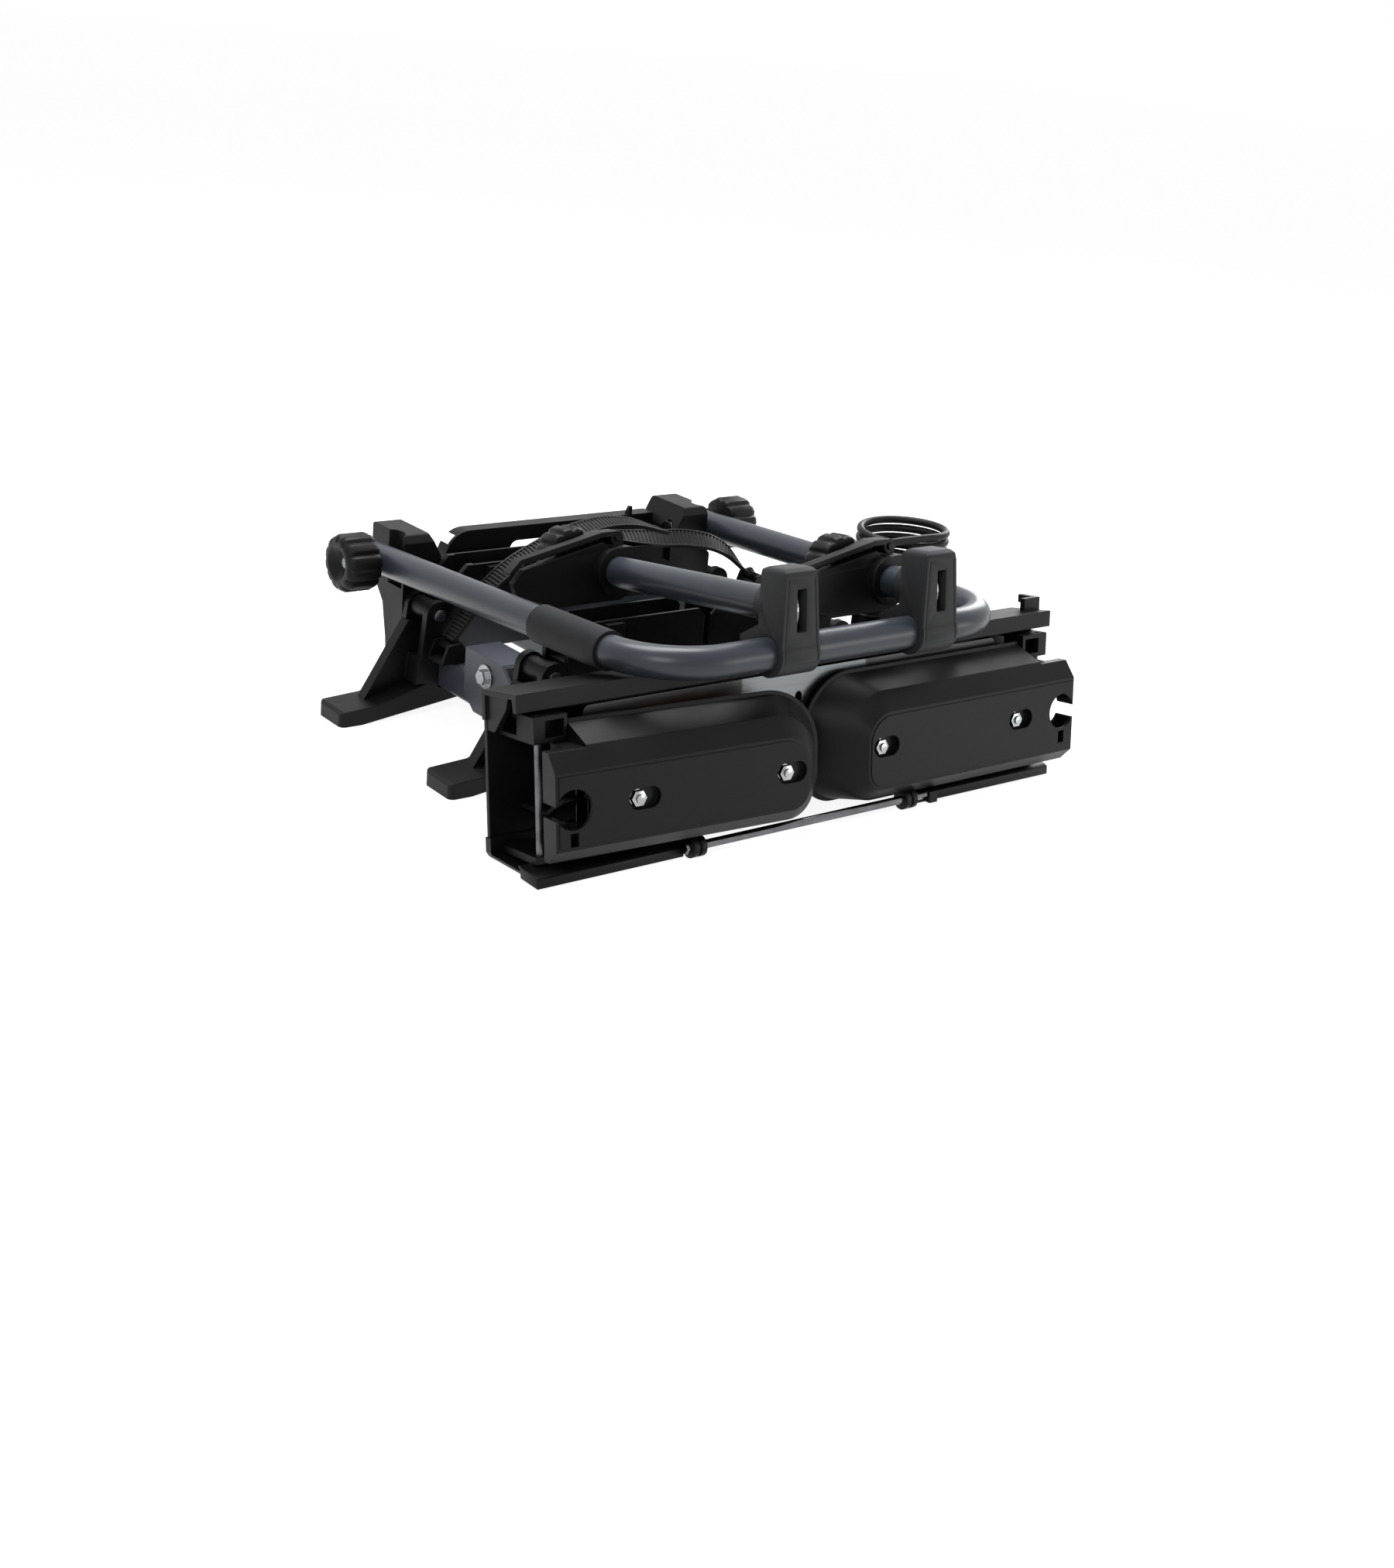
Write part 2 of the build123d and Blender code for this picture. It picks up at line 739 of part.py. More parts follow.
def make_light_shell(frame):
    """Moulded housing of a light unit, open towards its lens."""
    mid_w = unit_back + 8
    with BuildPart() as body:
        with BuildSketch(frame.face(unit_back)):
            unit_outline(frame, 0, 0, 38)
        extrude(amount=8)
        with BuildSketch(frame.face(mid_w)):
            unit_outline(frame, 0, 0, 38)
        with BuildSketch(frame.face(unit_front)):
            unit_outline(frame, 0, unit_draft, 27)
        loft()
        with BuildSketch(frame.face(unit_back)):
            unit_outline(frame, unit_wall, 0, 36)
        extrude(amount=8, mode=Mode.SUBTRACT)
        with BuildSketch(frame.face(mid_w)):
            unit_outline(frame, unit_wall, 0, 36)
        with BuildSketch(frame.face(unit_front - unit_wall)):
            unit_outline(frame, unit_wall, unit_draft, 25)
        loft(mode=Mode.SUBTRACT)
        with BuildSketch(frame.face(unit_front)):
            unit_outline(frame, 3, unit_draft, 24)
        extrude(amount=1.0)
        centre_h = unit_top - unit_height / 2
        with BuildSketch(frame.face(unit_back - 1)):
            with Locations((frame.u(keyhole_u), centre_h)):
                Circle(keyhole_r)
            with Locations((frame.u(keyhole_u - 20), centre_h)):
                Rectangle(40, 10)
            with Locations((frame.u(6), centre_h - 27)):
                Rectangle(8, 11)
        extrude(amount=unit_front + 4, mode=Mode.SUBTRACT)
        for nut_u in (nut_outer, nut_inner):
            with BuildSketch(frame.face(unit_front + 1)):
                with Locations((frame.u(nut_u + 5), centre_h)):
                    SlotOverall(30, 19)
            extrude(amount=-7)
            with BuildSketch(frame.face(unit_front + 1.5)):
                with Locations((frame.u(nut_u + 5), centre_h)):
                    SlotOverall(27, 16)
            extrude(amount=-6.5, mode=Mode.SUBTRACT)
        ear_t = 10.0
        for low in (unit_top - 1 - ear_t, unit_top - unit_height + 1):
            with BuildSketch(frame.shelf(low)):
                Circle(rod_r + 3.5)
                outline([
                    (frame.u(-rod_r - 3.5), 0), (frame.u(-rod_r - 3.5), -mid_w),
                    (frame.u(rod_r + 6), -mid_w), (frame.u(rod_r + 6), 0),
                ])
            extrude(amount=ear_t)
            with BuildSketch(frame.shelf(low)):
                Circle(rod_r + run_fit)
            extrude(amount=ear_t, mode=Mode.SUBTRACT)
    return body.part


def make_lens(frame):
    """Lens and lamp tray that close the back of a light unit."""
    with BuildPart() as body:
        with BuildSketch(frame.face(unit_back + 0.5)):
            unit_outline(frame, unit_wall + 0.1, 0, 36)
            with Locations((frame.u(2), unit_top - unit_height / 2)):
                Rectangle(66, unit_height + 2, mode=Mode.SUBTRACT)
        extrude(amount=5)
        with BuildSketch(frame.face(unit_back + 0.5)):
            unit_outline(frame, 12, 0, 27)
            with Locations((frame.u(2), unit_top - unit_height / 2)):
                Rectangle(82, unit_height + 2, mode=Mode.SUBTRACT)
        extrude(amount=-6, taper=18)
    return body.part


def make_lamp_board(frame):
    """Circuit board with its lamps, sealed behind the lens."""
    centre_h = unit_top - unit_height / 2
    with BuildPart() as body:
        with BuildSketch(frame.face(unit_back + 7)):
            with Locations((frame.u(150), centre_h)):
                RectangleRounded(190, 48, 4)
        extrude(amount=1.6)
        with BuildSketch(frame.face(unit_back + 5.8)):
            with Locations((frame.u(150), centre_h)):
                with GridLocations(38, 22, 5, 2):
                    Rectangle(5, 5)
        extrude(amount=1.2)
    return body.part


def make_light_nuts(frame):
    """The two nuts with their studs in the oval recesses."""
    centre_h = unit_top - unit_height / 2
    floor = unit_front + 1 - 6
    with BuildPart() as body:
        for nut_u in (nut_outer, nut_inner):
            with BuildSketch(frame.face(floor)):
                with Locations((frame.u(nut_u), centre_h)):
                    Circle(7.4)
            extrude(amount=1.2)
            with BuildSketch(frame.face(floor + 1.2)):
                with Locations((frame.u(nut_u), centre_h)):
                    RegularPolygon(nut_af / 2, 6, major_radius=False)
            extrude(amount=5.0)
            with BuildSketch(frame.face(floor + 6.2)):
                with Locations((frame.u(nut_u), centre_h)):
                    Circle(4)
            extrude(amount=2.6)
    return body.part


def make_clamp(x):
    """Plastic clamp round the front tube with the socket for an arm tube."""
    with BuildPart() as body:
        with BuildSketch(lean_side(x - 30)):
            Circle(clamp_front + 2)
            outline([
                (-clamp_front, -10), (-clamp_front, 67), (-clamp_front + 3, 70), (10, 75),
                (clamp_back, 71), (clamp_back, 24), (40, 12), (40, 7), (19, 4), (12, -10),
            ])
        extrude(amount=60)
        with BuildSketch(lean_front(60)):
            outline([
                (x - clamp_top_w / 2, 76), (x + clamp_top_w / 2, 76), (x + 23.5, 18),
                (x + clamp_low_w / 2, 4), (x + clamp_low_w / 2, -26), (x - clamp_low_w / 2, -26),
                (x - clamp_low_w / 2, 4), (x - 23.5, 18),
            ])
        extrude(amount=120, mode=Mode.INTERSECT)
        with BuildSketch(lean_front(-clamp_front - 1)):
            with Locations((x, 38.5)):
                RectangleRounded(11, 38, 1.5)
        extrude(amount=-20, mode=Mode.SUBTRACT)
        with BuildSketch(lean_front(clamp_back)):
            with Locations((x, arm_h)):
                Circle(collar_r)
        extrude(amount=-collar_t)
        with BuildSketch(lean_front(clamp_back + collar_t)):
            with Locations((x, arm_h)):
                Circle(tube_r + 0.05)
        extrude(amount=collar_t + 6, mode=Mode.SUBTRACT)
        with BuildSketch(lean_side(x - 31)):
            Circle(tube_r + run_fit)
        extrude(amount=62, mode=Mode.SUBTRACT)
    return body.part


def make_arm_tube(x, d):
    start = clamp_back - 6
    with BuildPart() as body:
        with BuildSketch(lean_front(start)):
            with Locations((x, arm_h)):
                Circle(tube_r)
                Circle(tube_r - tube_wall, mode=Mode.SUBTRACT)
        extrude(amount=-(d + 11.5 - start))
    return body.part


def head_face(x):
    """Outline of a holder head around its arm tube."""
    with BuildLine() as rim:
        FilletPolyline(
            (x + 22, arm_h + 33), (x + 24, arm_h - 20), (x + 8, arm_h - 29), (x - 68, arm_h - 29),
            (x - 112, arm_h - 14), (x - 117, arm_h + 2), (x - 108, arm_h + 18), (x - 10, arm_h + 37),
            (x + 12, arm_h + 37), radius=6, close=True,
        )
    make_face(rim.edges())


def make_head(x, d):
    """Half of a holder head with its jaw pad, tube socket, ears for the band and stud."""
    pin = (x + 6, arm_h + 31)
    with BuildPart() as body:
        with BuildSketch(lean_front(d)):
            head_face(x)
        extrude(amount=-head_depth)
        chamfer(body.faces().sort_by(Axis((0, 0, 0), lean.y_dir))[0].edges(), 3)
        with BuildSketch(lean_front(d - 6)):
            with Locations((x, arm_h)):
                Circle(tube_r + 8)
        extrude(amount=-14)
        with BuildSketch(lean_front(d + (head_depth - band_w) / 2 - 0.4)):
            outline([
                (x + 26, arm_h + 21), (x - 8, arm_h + 25), (x - 116, arm_h + 5),
                (x - 130, arm_h + 5), (x - 130, arm_h + 60), (x + 26, arm_h + 60),
            ])
        extrude(amount=-(band_w + 0.8), mode=Mode.SUBTRACT)
        with BuildSketch(lean_front(d + head_depth / 2 - 8)):
            outline([
                (x - 20, arm_h + 20), (x - 100, arm_h + 5), (x - 100, arm_h + 9),
                (x - 60, arm_h + 16), (x - 20, arm_h + 24),
            ])
        extrude(amount=-16)
        with BuildSketch(lean_front(d)):
            with Locations(pin):
                Circle(band_pin_r)
        extrude(amount=-head_depth)
        with BuildSketch(lean_front(d - 8)):
            with Locations((x, arm_h)):
                Circle(tube_r + run_fit)
        extrude(amount=-20, mode=Mode.SUBTRACT)
        with BuildSketch(lean_front(d + head_depth)):
            with Locations((x, arm_h)):
                Circle(stud_r)
        extrude(amount=-24)
    return body.part


def make_band(x, d):
    """Ratchet band over a head, with its hinge eye and the teeth beneath."""
    pin = (x + 6, arm_h + 31)
    with BuildPart() as body:
        with BuildSketch(lean_front(d + (head_depth - band_w) / 2)):
            outline([
                (x + 6, arm_h + 38), (x - 12, arm_h + 38), (x - 106, arm_h + 20),
                (x - 119, arm_h + 8), (x - 115, arm_h + 6), (x - 104, arm_h + 15),
                (x - 12, arm_h + 33), (x + 6, arm_h + 33),
            ])
            with Locations(pin):
                Circle(band_pin_r + 4)
                Circle(band_pin_r + run_fit, mode=Mode.SUBTRACT)
        extrude(amount=-band_w)
        with BuildSketch(lean_front(d + head_depth / 2 - 7)):
            for step in range(8):
                back = 92 - step * 9
                tooth_h = arm_h + 15 + (104 - back) * 18 / 92
                outline([
                    (x - back, tooth_h + 0.5), (x - back + 6, tooth_h + 1.7),
                    (x - back + 4.5, tooth_h - 2), (x - back + 1.5, tooth_h - 2.6),
                ])
        extrude(amount=-14)
    return body.part


def make_strap(start, finish, heights, width=22.0, thick=4.0):
    """Flat wheel strap over the line from start to finish, through evenly spaced heights."""
    reach = Vector(*finish, 0) - Vector(*start, 0)
    course = reach.normalized()
    side = Plane(
        origin=(start[0], front_y + start[1], 0), x_dir=course, z_dir=course.cross(Vector(0, 0, 1))
    )
    step = reach.length / (len(heights) - 1)
    with BuildPart() as body:
        with BuildSketch(side):
            with BuildLine():
                Spline(*[(step * count, height) for count, height in enumerate(heights)])
            trace(line_width=thick)
        extrude(amount=width / 2, both=True)
    return body.part


def make_buckle(x, y, z):
    """Ratchet buckle of a wheel strap: a forked body with a drum between its cheeks."""
    cheek_t = 4.0
    gap = 22.0
    with BuildPart() as body:
        for cheek_y in (y, y + cheek_t + gap):
            with BuildSketch(across(cheek_y)):
                outline([
                    (x - 15, z - 8), (x + 11, z - 8), (x + 15, z + 2), (x + 7, z + 13),
                    (x - 8, z + 11),
                ])
            extrude(amount=-cheek_t)
        with BuildSketch(across(y + cheek_t)):
            with Locations((x + 2, z + 6)):
                Circle(5)
            outline([(x - 15, z - 8), (x + 11, z - 8), (x + 11, z - 5), (x - 15, z - 5)])
        extrude(amount=-gap)
    return body.part


def make_centre_cover():
    """Rounded moulded cover between the trays, on a rib that stands on the centre beam."""
    high = 104.0
    with BuildPart() as body:
        with BuildSketch(level(high - 5)):
            with Locations((62, 302)):
                RectangleRounded(94, 76, 18)
        extrude(amount=5)
        fillet(body.edges().group_by(Axis.Z)[-1], 3)
        with BuildSketch(across(266)):
            outline([(16, beam_top), (28, beam_top), (28, high - 5), (16, high - 5)])
        extrude(amount=-72)
    return body.part


def make_coupling_housing():
    """Cast housing that closes over the tow ball, with the cheeks of its lever."""
    low = 20.0
    with BuildPart() as body:
        with BuildSketch(level(low)):
            with Locations((0, coupling_y)):
                Circle(coupling_r)
            with Locations((0, coupling_y - coupling_neck / 2)):
                Rectangle(66, coupling_neck)
        extrude(amount=coupling_top - low)
        fillet(body.edges().group_by(Axis.Z)[-1], 7)
        with BuildSketch(level(low)):
            with Locations((0, coupling_y)):
                Circle(ball_r + run_fit)
        extrude(amount=ball_z - low, mode=Mode.SUBTRACT)
        with Locations((0, front_y + coupling_y, ball_z)):
            Sphere(ball_r + run_fit, mode=Mode.SUBTRACT)
        with BuildSketch(level(low)):
            with Locations((0, coupling_y - ball_r - 8)):
                Rectangle(jaw_w + 2 * seat_gap, 34)
        extrude(amount=jaw_top + seat_gap - low, mode=Mode.SUBTRACT)
        for x in (-15, 15):
            with BuildSketch(along(x - 3)):
                with Locations(lever_pivot):
                    Circle(9)
                outline([
                    (lever_pivot[0] - 9, lever_pivot[1]), (lever_pivot[0] - 12, coupling_top - 8),
                    (lever_pivot[0] + 12, coupling_top - 8), (lever_pivot[0] + 9, lever_pivot[1]),
                ])
            extrude(amount=6)
        with BuildSketch(along(-18)):
            with Locations(lever_pivot):
                Circle(lever_pin_r)
        extrude(amount=36)
    return body.part


def make_coupling_lever():
    """Hand lever of the coupling, lying over the centre beam."""
    y, z = lever_pivot
    with BuildPart() as body:
        with BuildSketch(along(-11)):
            with Locations(lever_pivot):
                Circle(8)
            outline([
                (y, z - 5), (y, z + 8), (y - 30, z + 9), (y - 54, z + 5), (y - 59, z),
                (y - 54, z - 4), (y - 30, z - 1),
            ])
        extrude(amount=22)
        with BuildSketch(along(-12)):
            with Locations(lever_pivot):
                Circle(lever_pin_r + run_fit)
        extrude(amount=24, mode=Mode.SUBTRACT)
        with BuildSketch(level(z - 6)):
            with Locations((0, y - 36)):
                SlotOverall(26, 9, rotation=90)
        extrude(amount=20, mode=Mode.SUBTRACT)
    return body.part


def make_coupling_jaw():
    """Sliding jaw that grips the tow ball from the carrier's side."""
    with BuildPart() as body:
        with BuildSketch(level(22)):
            with Locations((0, coupling_y - ball_r - 8)):
                Rectangle(jaw_w, 17)
        extrude(amount=jaw_top - 22)
        with BuildSketch(level(21)):
            with Locations((0, coupling_y)):
                Circle(ball_r + 0.4)
        extrude(amount=30, mode=Mode.SUBTRACT)
    return body.part


def make_light_cables(frames):
    """Short cables from the back of the panel into the light units."""
    wall = panel_front + panel_depth - panel_wall
    with BuildPart() as body:
        for frame in frames:
            x = frame.side * 284
            entry = frame.origin + frame.inward * 30 + frame.view * 11 + lean.z_dir * -106
            with BuildLine() as path:
                FilletPolyline(
                    lean.from_local_coords((x, wall, -124)),
                    lean.from_local_coords((x, 56, -124)),
                    entry - frame.inward * 15,
                    entry,
                    radius=8,
                )
            with BuildSketch(Plane(origin=path.line @ 0, z_dir=path.line % 0)):
                Circle(light_cable_r)
            sweep(path=path.wires()[0])
    return body.part


def add_biarc(start, start_way, finish, finish_way):
    """Two arcs that leave start and reach finish in the given directions."""
    v = finish - start
    both = start_way + finish_way
    bend = 2 * (1 - start_way.dot(finish_way))
    if bend < 1e-6:
        Line(start, finish)
        return
    reach = (sqrt(v.dot(both) ** 2 + bend * v.dot(v)) - v.dot(both)) / bend
    middle = (start + finish + (start_way - finish_way) * reach) * 0.5
    middle_way = (finish - finish_way * reach - start - start_way * reach).normalized()
    TangentArc(start, middle, tangent=start_way)
    TangentArc(middle, finish, tangent=middle_way)


def coil_point(turned):
    """Point of the coil after it has turned so far, in degrees, and its direction there."""
    angle = radians(90 - turned)
    climb = coil_pitch / 360
    point = Vector(
        coil_x + coil_r * cos(angle),
        front_y + coil_y + coil_r * sin(angle),
        coil_z + climb * turned,
    )
    way = Vector(sin(angle) * radians(1) * coil_r, -cos(angle) * radians(1) * coil_r, climb)
    return point, way.normalized()


def lead_marks():
    """Points and directions of the lead: gland, coil turns and plug."""
    first, first_way = coil_point(0)
    marks = [(Vector(gland_x, first.Y, first.Z - 0.3), Vector(1, 0, 0))]
    marks.append((marks[0][0] + Vector(2 * lead_r, 0, 0), Vector(1, 0, 0)))
    quarter = 90
    total = 360 * coil_turns + 180
    for turned in range(0, total + 1, quarter):
        marks.append(coil_point(turned))
    last = marks[-1][0]
    bend_r = 36.0
    marks.append((Vector(plug_x + bend_r, last.Y, last.Z + 0.6), Vector(-1, 0, 0)))
    marks.append((Vector(plug_x, last.Y, last.Z + 0.6 - bend_r), Vector(0, 0, -1)))
    marks.append((marks[-1][0] - Vector(0, 0, 2 * lead_r), Vector(0, 0, -1)))
    return marks


def make_lead(marks):
    """The plug lead as one unbroken tube from its gland through the coil to its plug."""
    with BuildPart() as body:
        with BuildLine() as path:
            for (start, start_way), (finish, finish_way) in zip(marks, marks[1:]):
                add_biarc(start, start_way, finish, finish_way)
        with BuildSketch(Plane(origin=marks[0][0], z_dir=marks[0][1])):
            Circle(lead_r)
        sweep(path=path.wires()[0])
    return body.part, path.wires()[0]


def report_lead(wire):
    """Print the lead's length and its least gap to itself, measured on points."""
    count = 600
    points = [wire @ (step / count) for step in range(count + 1)]
    apart = int(count * 60 / wire.length)
    least = min(
        (points[a] - points[b]).length
        for a in range(count + 1)
        for b in range(a + apart, count + 1)
    )
    print("lead length", round(wire.length, 1), "least gap", round(least - 2 * lead_r, 2))


def make_gland(marks):
    """Strain relief on the right arm that the lead comes out of."""
    exit_point = marks[0][0]
    with BuildPart() as body:
        with BuildSketch(Plane(origin=(arm_side - 9, exit_point.Y, exit_point.Z), z_dir=(1, 0, 0))):
            Circle(6)
        extrude(amount=exit_point.X - arm_side + 9)
        with BuildSketch(Plane(origin=(arm_side, exit_point.Y, exit_point.Z - 12), z_dir=(0, 0, 1))):
            Rectangle(22, 16)
        extrude(amount=15)
        with BuildLine(u_plane):
            Line((arm_side, 0), (arm_side, arm_reach))
        middle = u_plane.from_local_coords((arm_side, 0, 0))
        with BuildSketch(Plane(origin=middle, z_dir=u_plane.y_dir)):
            Circle(tube_r + 0.05)
        extrude(amount=arm_reach, mode=Mode.SUBTRACT)
    return body.part


def make_plug(marks):
    """Thirteen pole plug on the end of the lead, pins down."""
    top = marks[-1][0]
    with BuildPart() as body:
        with BuildSketch(Plane(origin=top, x_dir=(1, 0, 0), z_dir=(0, 0, -1))):
            Circle(8)
        extrude(amount=8)
        with BuildSketch(Plane(origin=top - Vector(0, 0, 8), x_dir=(1, 0, 0), z_dir=(0, 0, -1))):
            Circle(11)
        with BuildSketch(Plane(origin=top - Vector(0, 0, 26), x_dir=(1, 0, 0), z_dir=(0, 0, -1))):
            Circle(17)
        loft()
        with BuildSketch(Plane(origin=top - Vector(0, 0, 26), x_dir=(1, 0, 0), z_dir=(0, 0, -1))):
            Circle(18.5)
        extrude(amount=30)
        with BuildSketch(Plane(origin=top - Vector(0, 0, 56), x_dir=(1, 0, 0), z_dir=(0, 0, -1))):
            Circle(15)
            Circle(13, mode=Mode.SUBTRACT)
        extrude(amount=12)
        with BuildSketch(Plane(origin=top - Vector(0, 0, 56), x_dir=(1, 0, 0), z_dir=(0, 0, -1))):
            with PolarLocations(8.5, 9):
                Circle(1.3)
            with PolarLocations(3.5, 4):
                Circle(1.3)
        extrude(amount=9)
    return body.part


def knob_seat(side):
    """Face of a pivot knob against the arm tube."""
    x = side * (arm_side + tube_r + seat_gap)
    return Plane(
        origin=(x, front_y + pivot_y, pivot_z), x_dir=(0, 1, 0), z_dir=(side, 0, 0)
    )


def head_seat(x, d):
    """Face of a head knob against the back of its head."""
    point = lean.from_local_coords((x, d + head_depth + seat_gap, arm_h))
    return Plane(origin=point, x_dir=(1, 0, 0), z_dir=lean.y_dir)


if __name__ == "__main__":
    os.makedirs("parts", exist_ok=True)

    save(make_u_tube(), "u_tube")
    save(make_sleeve(), "tube_sleeve")

    marks = lead_marks()
    lead, lead_wire = make_lead(marks)
    report_lead(lead_wire)
    save(lead, "lead_coil")
    save(make_gland(marks), "lead_gland")
    save(make_plug(marks), "lead_plug")

    bore_depth = tube_r + bolt_reach - tube_r + 1
    for side, name in ((-1, "left"), (1, "right")):
        save(make_knob(knob_seat(side), bolt_r, bore_depth, knob_t), f"pivot_knob_{name}")

    for number, (x, d) in enumerate(zip(arm_x, head_d), start=1):
        save(make_clamp(x), f"arm_clamp_{number}")
        save(make_arm_tube(x, d), f"arm_tube_{number}")
        save(make_head(x, d), f"head_body_{number}")
        save(make_band(x, d), f"head_band_{number}")
        save(make_knob(head_seat(x, d), stud_r, 26, knob_t - 6), f"head_knob_{number}")

    pieces = {"pivot_block": make_pivot_block(), "leg_a": make_leg(leg_a_y), "leg_b": make_leg(leg_b_y)}
    pieces["tray_a"] = make_tray(leg_a_y)
    pieces["tray_b"] = make_tray(leg_b_y)
    for name, piece in pieces.items():
        save(piece, f"{name}_left")
        save(mirrored(piece), f"{name}_right")

    save(make_pivot_bolts(), "pivot_bolts")
    save(make_hinge_pins(), "tray_hinge_pins")
    save(make_long_beams(), "long_beams")
    save(make_cross_beams(), "cross_beams")
    save(make_beam_brackets(), "beam_brackets")
    save(make_beam_bolts(), "beam_bolts")
    save(make_rear_member(), "rear_cross_member")
    save(make_centre_cover(), "centre_cover")

    save(make_panel_frame(), "panel_frame")
    save(make_plate_backing(), "plate_backing")
    save(make_hinge_rods(), "hinge_rods")
    save(make_hinge_brackets(), "light_hinge_brackets")
    save(make_plate_rod(), "plate_rod")

    frames = {"left": UnitFrame(-1, left_swing_deg), "right": UnitFrame(1, 0)}
    save(make_light_cables(frames.values()), "light_cables")
    for name, frame in frames.items():
        save(make_light_shell(frame), f"light_shell_{name}")
        save(make_lens(frame), f"light_lens_{name}")
        save(make_lamp_board(frame), f"lamp_board_{name}")
        save(make_light_nuts(frame), f"light_nuts_{name}")

    straps = {
        "a_left": make_strap((-176, 380.7), (84, 380.7), (84, 140, 168, 184, 186, 172), width=21),
        "a_right": make_strap((30, 425), (196, 369), (161, 158.5, 157, 156.5, 148, 118)),
        "b_left": make_strap((-129, 215), (-20, 215), (112.5, 114, 112.5, 116)),
        "b_right": make_strap((75, 300), (-30, 254), (106.5, 111, 118, 120)),
    }
    buckles = {
        "a_left": make_buckle(-176, 365.7, 70),
        "a_right": make_buckle(206, 354, 106),
        "b_left": make_buckle(-145, 200, tray_floor + 12 + seat_gap + 8),
        "b_right": make_buckle(96, 286, 104 + seat_gap + 8),
    }
    for name in straps:
        save(straps[name], f"wheel_strap_{name}")
        save(buckles[name], f"strap_buckle_{name}")

    save(make_coupling_housing(), "coupling_housing")
    save(make_coupling_lever(), "coupling_lever")
    save(make_coupling_jaw(), "coupling_jaw")
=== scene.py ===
"""Tow bar bike carrier, folded: its scene-made forms, finishes, light and camera."""

import json
from math import cos, pi, radians, sin, tan

import bmesh
import bpy
from mathutils import Matrix, Vector


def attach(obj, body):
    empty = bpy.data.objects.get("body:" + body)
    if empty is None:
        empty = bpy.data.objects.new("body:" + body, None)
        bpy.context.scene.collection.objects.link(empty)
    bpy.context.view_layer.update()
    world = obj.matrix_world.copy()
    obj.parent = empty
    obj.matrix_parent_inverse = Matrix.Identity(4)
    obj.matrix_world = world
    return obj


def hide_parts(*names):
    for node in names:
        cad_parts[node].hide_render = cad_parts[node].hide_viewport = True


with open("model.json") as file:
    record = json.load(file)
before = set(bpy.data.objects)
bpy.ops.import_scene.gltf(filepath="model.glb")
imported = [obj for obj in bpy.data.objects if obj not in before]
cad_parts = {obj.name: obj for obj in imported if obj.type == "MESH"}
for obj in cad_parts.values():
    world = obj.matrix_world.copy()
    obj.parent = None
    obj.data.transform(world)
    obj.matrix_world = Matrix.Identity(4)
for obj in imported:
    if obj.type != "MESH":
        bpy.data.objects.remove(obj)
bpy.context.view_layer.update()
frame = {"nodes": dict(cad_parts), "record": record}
nodes = frame["nodes"]

# Places and sizes in metres, as in the part's source. FRONT is the middle of the front tube,
# and the panel leans back from it.
FRONT = Vector((0, -0.2872, 0.1766))
LEAN = radians(8.53)
BACK = Vector((0, cos(LEAN), -sin(LEAN)))
UP = Vector((0, sin(LEAN), cos(LEAN)))
VIEW = -BACK
ARM_SIDE = 0.2085
ARM_H = 0.039
PIVOT = Vector((0, FRONT.y + 0.459, 0.148))
LEAD_R = 0.004
COIL = Vector((0.247, FRONT.y + 0.190, 0.1805))
COIL_R = 0.044
COIL_TURNS = 3
COIL_PITCH = 0.009
GLAND_X = 0.221
PLUG_X = 0.172
BEND_R = 0.036
LIGHT_CABLE_R = 0.003
ROD_X = 0.302
PANEL_FRONT = 0.045
PANEL_WALL = 0.094
CAD_LEFT_SWING = radians(7.5)


def leaned(x, depth, height):
    """Point of the leaned panel from its depth and height behind and above the front tube."""
    return FRONT + Vector((x, 0, 0)) + BACK * depth + UP * height


# Camera at the photograph's viewing angle
CAMERA_AT = (-1.2194, -1.2673 + FRONT.y, 0.7186)
CAMERA_FORWARD = Vector((0.5982, 0.7123, -0.3671)).normalized()
CAMERA_RIGHT = Vector((0.7854, -0.6122, 0.0918))
CAMERA_LENS = 46.83
SENSOR_W = 36
CLIP = (0.05, 60)


def add_camera():
    data = bpy.data.cameras.new("camera")
    data.sensor_width = SENSOR_W
    data.lens = CAMERA_LENS
    data.clip_start, data.clip_end = CLIP
    camera = bpy.data.objects.new("camera", data)
    camera.location = CAMERA_AT
    aside = CAMERA_FORWARD * CAMERA_RIGHT.dot(CAMERA_FORWARD)
    right = (CAMERA_RIGHT - aside).normalized()
    upward = right.cross(CAMERA_FORWARD)
    turn = Matrix((right, upward, -CAMERA_FORWARD)).transposed()
    camera.rotation_mode = "QUATERNION"
    camera.rotation_quaternion = turn.to_quaternion()
    bpy.context.collection.objects.link(camera)
    bpy.context.scene.camera = camera


add_camera()


# Cords
POINTS_PER_TURN = 16
CABLE_X = 0.284


def add_spline(name, points, radius):
    """Round tube along a NURBS spline with these control points, and the line it follows."""
    data = bpy.data.curves.new(name, "CURVE")
    data.dimensions = "3D"
    data.resolution_u = 8
    data.bevel_resolution = 5
    data.use_fill_caps = True
    spline = data.splines.new("NURBS")
    spline.points.add(len(points) - 1)
    for target, point in zip(spline.points, points):
        target.co = (*point, 1)
    spline.order_u = 3
    spline.use_endpoint_u = True
    route = bpy.data.objects.new(name, data)
    path = [vertex.co.copy() for vertex in bpy.data.meshes.new_from_object(route).vertices]
    data.bevel_depth = radius
    mesh = bpy.data.meshes.new_from_object(route)
    bpy.data.objects.remove(route)
    mesh.shade_smooth()
    piece = bpy.data.objects.new(name, mesh)
    bpy.context.collection.objects.link(piece)
    return piece, path


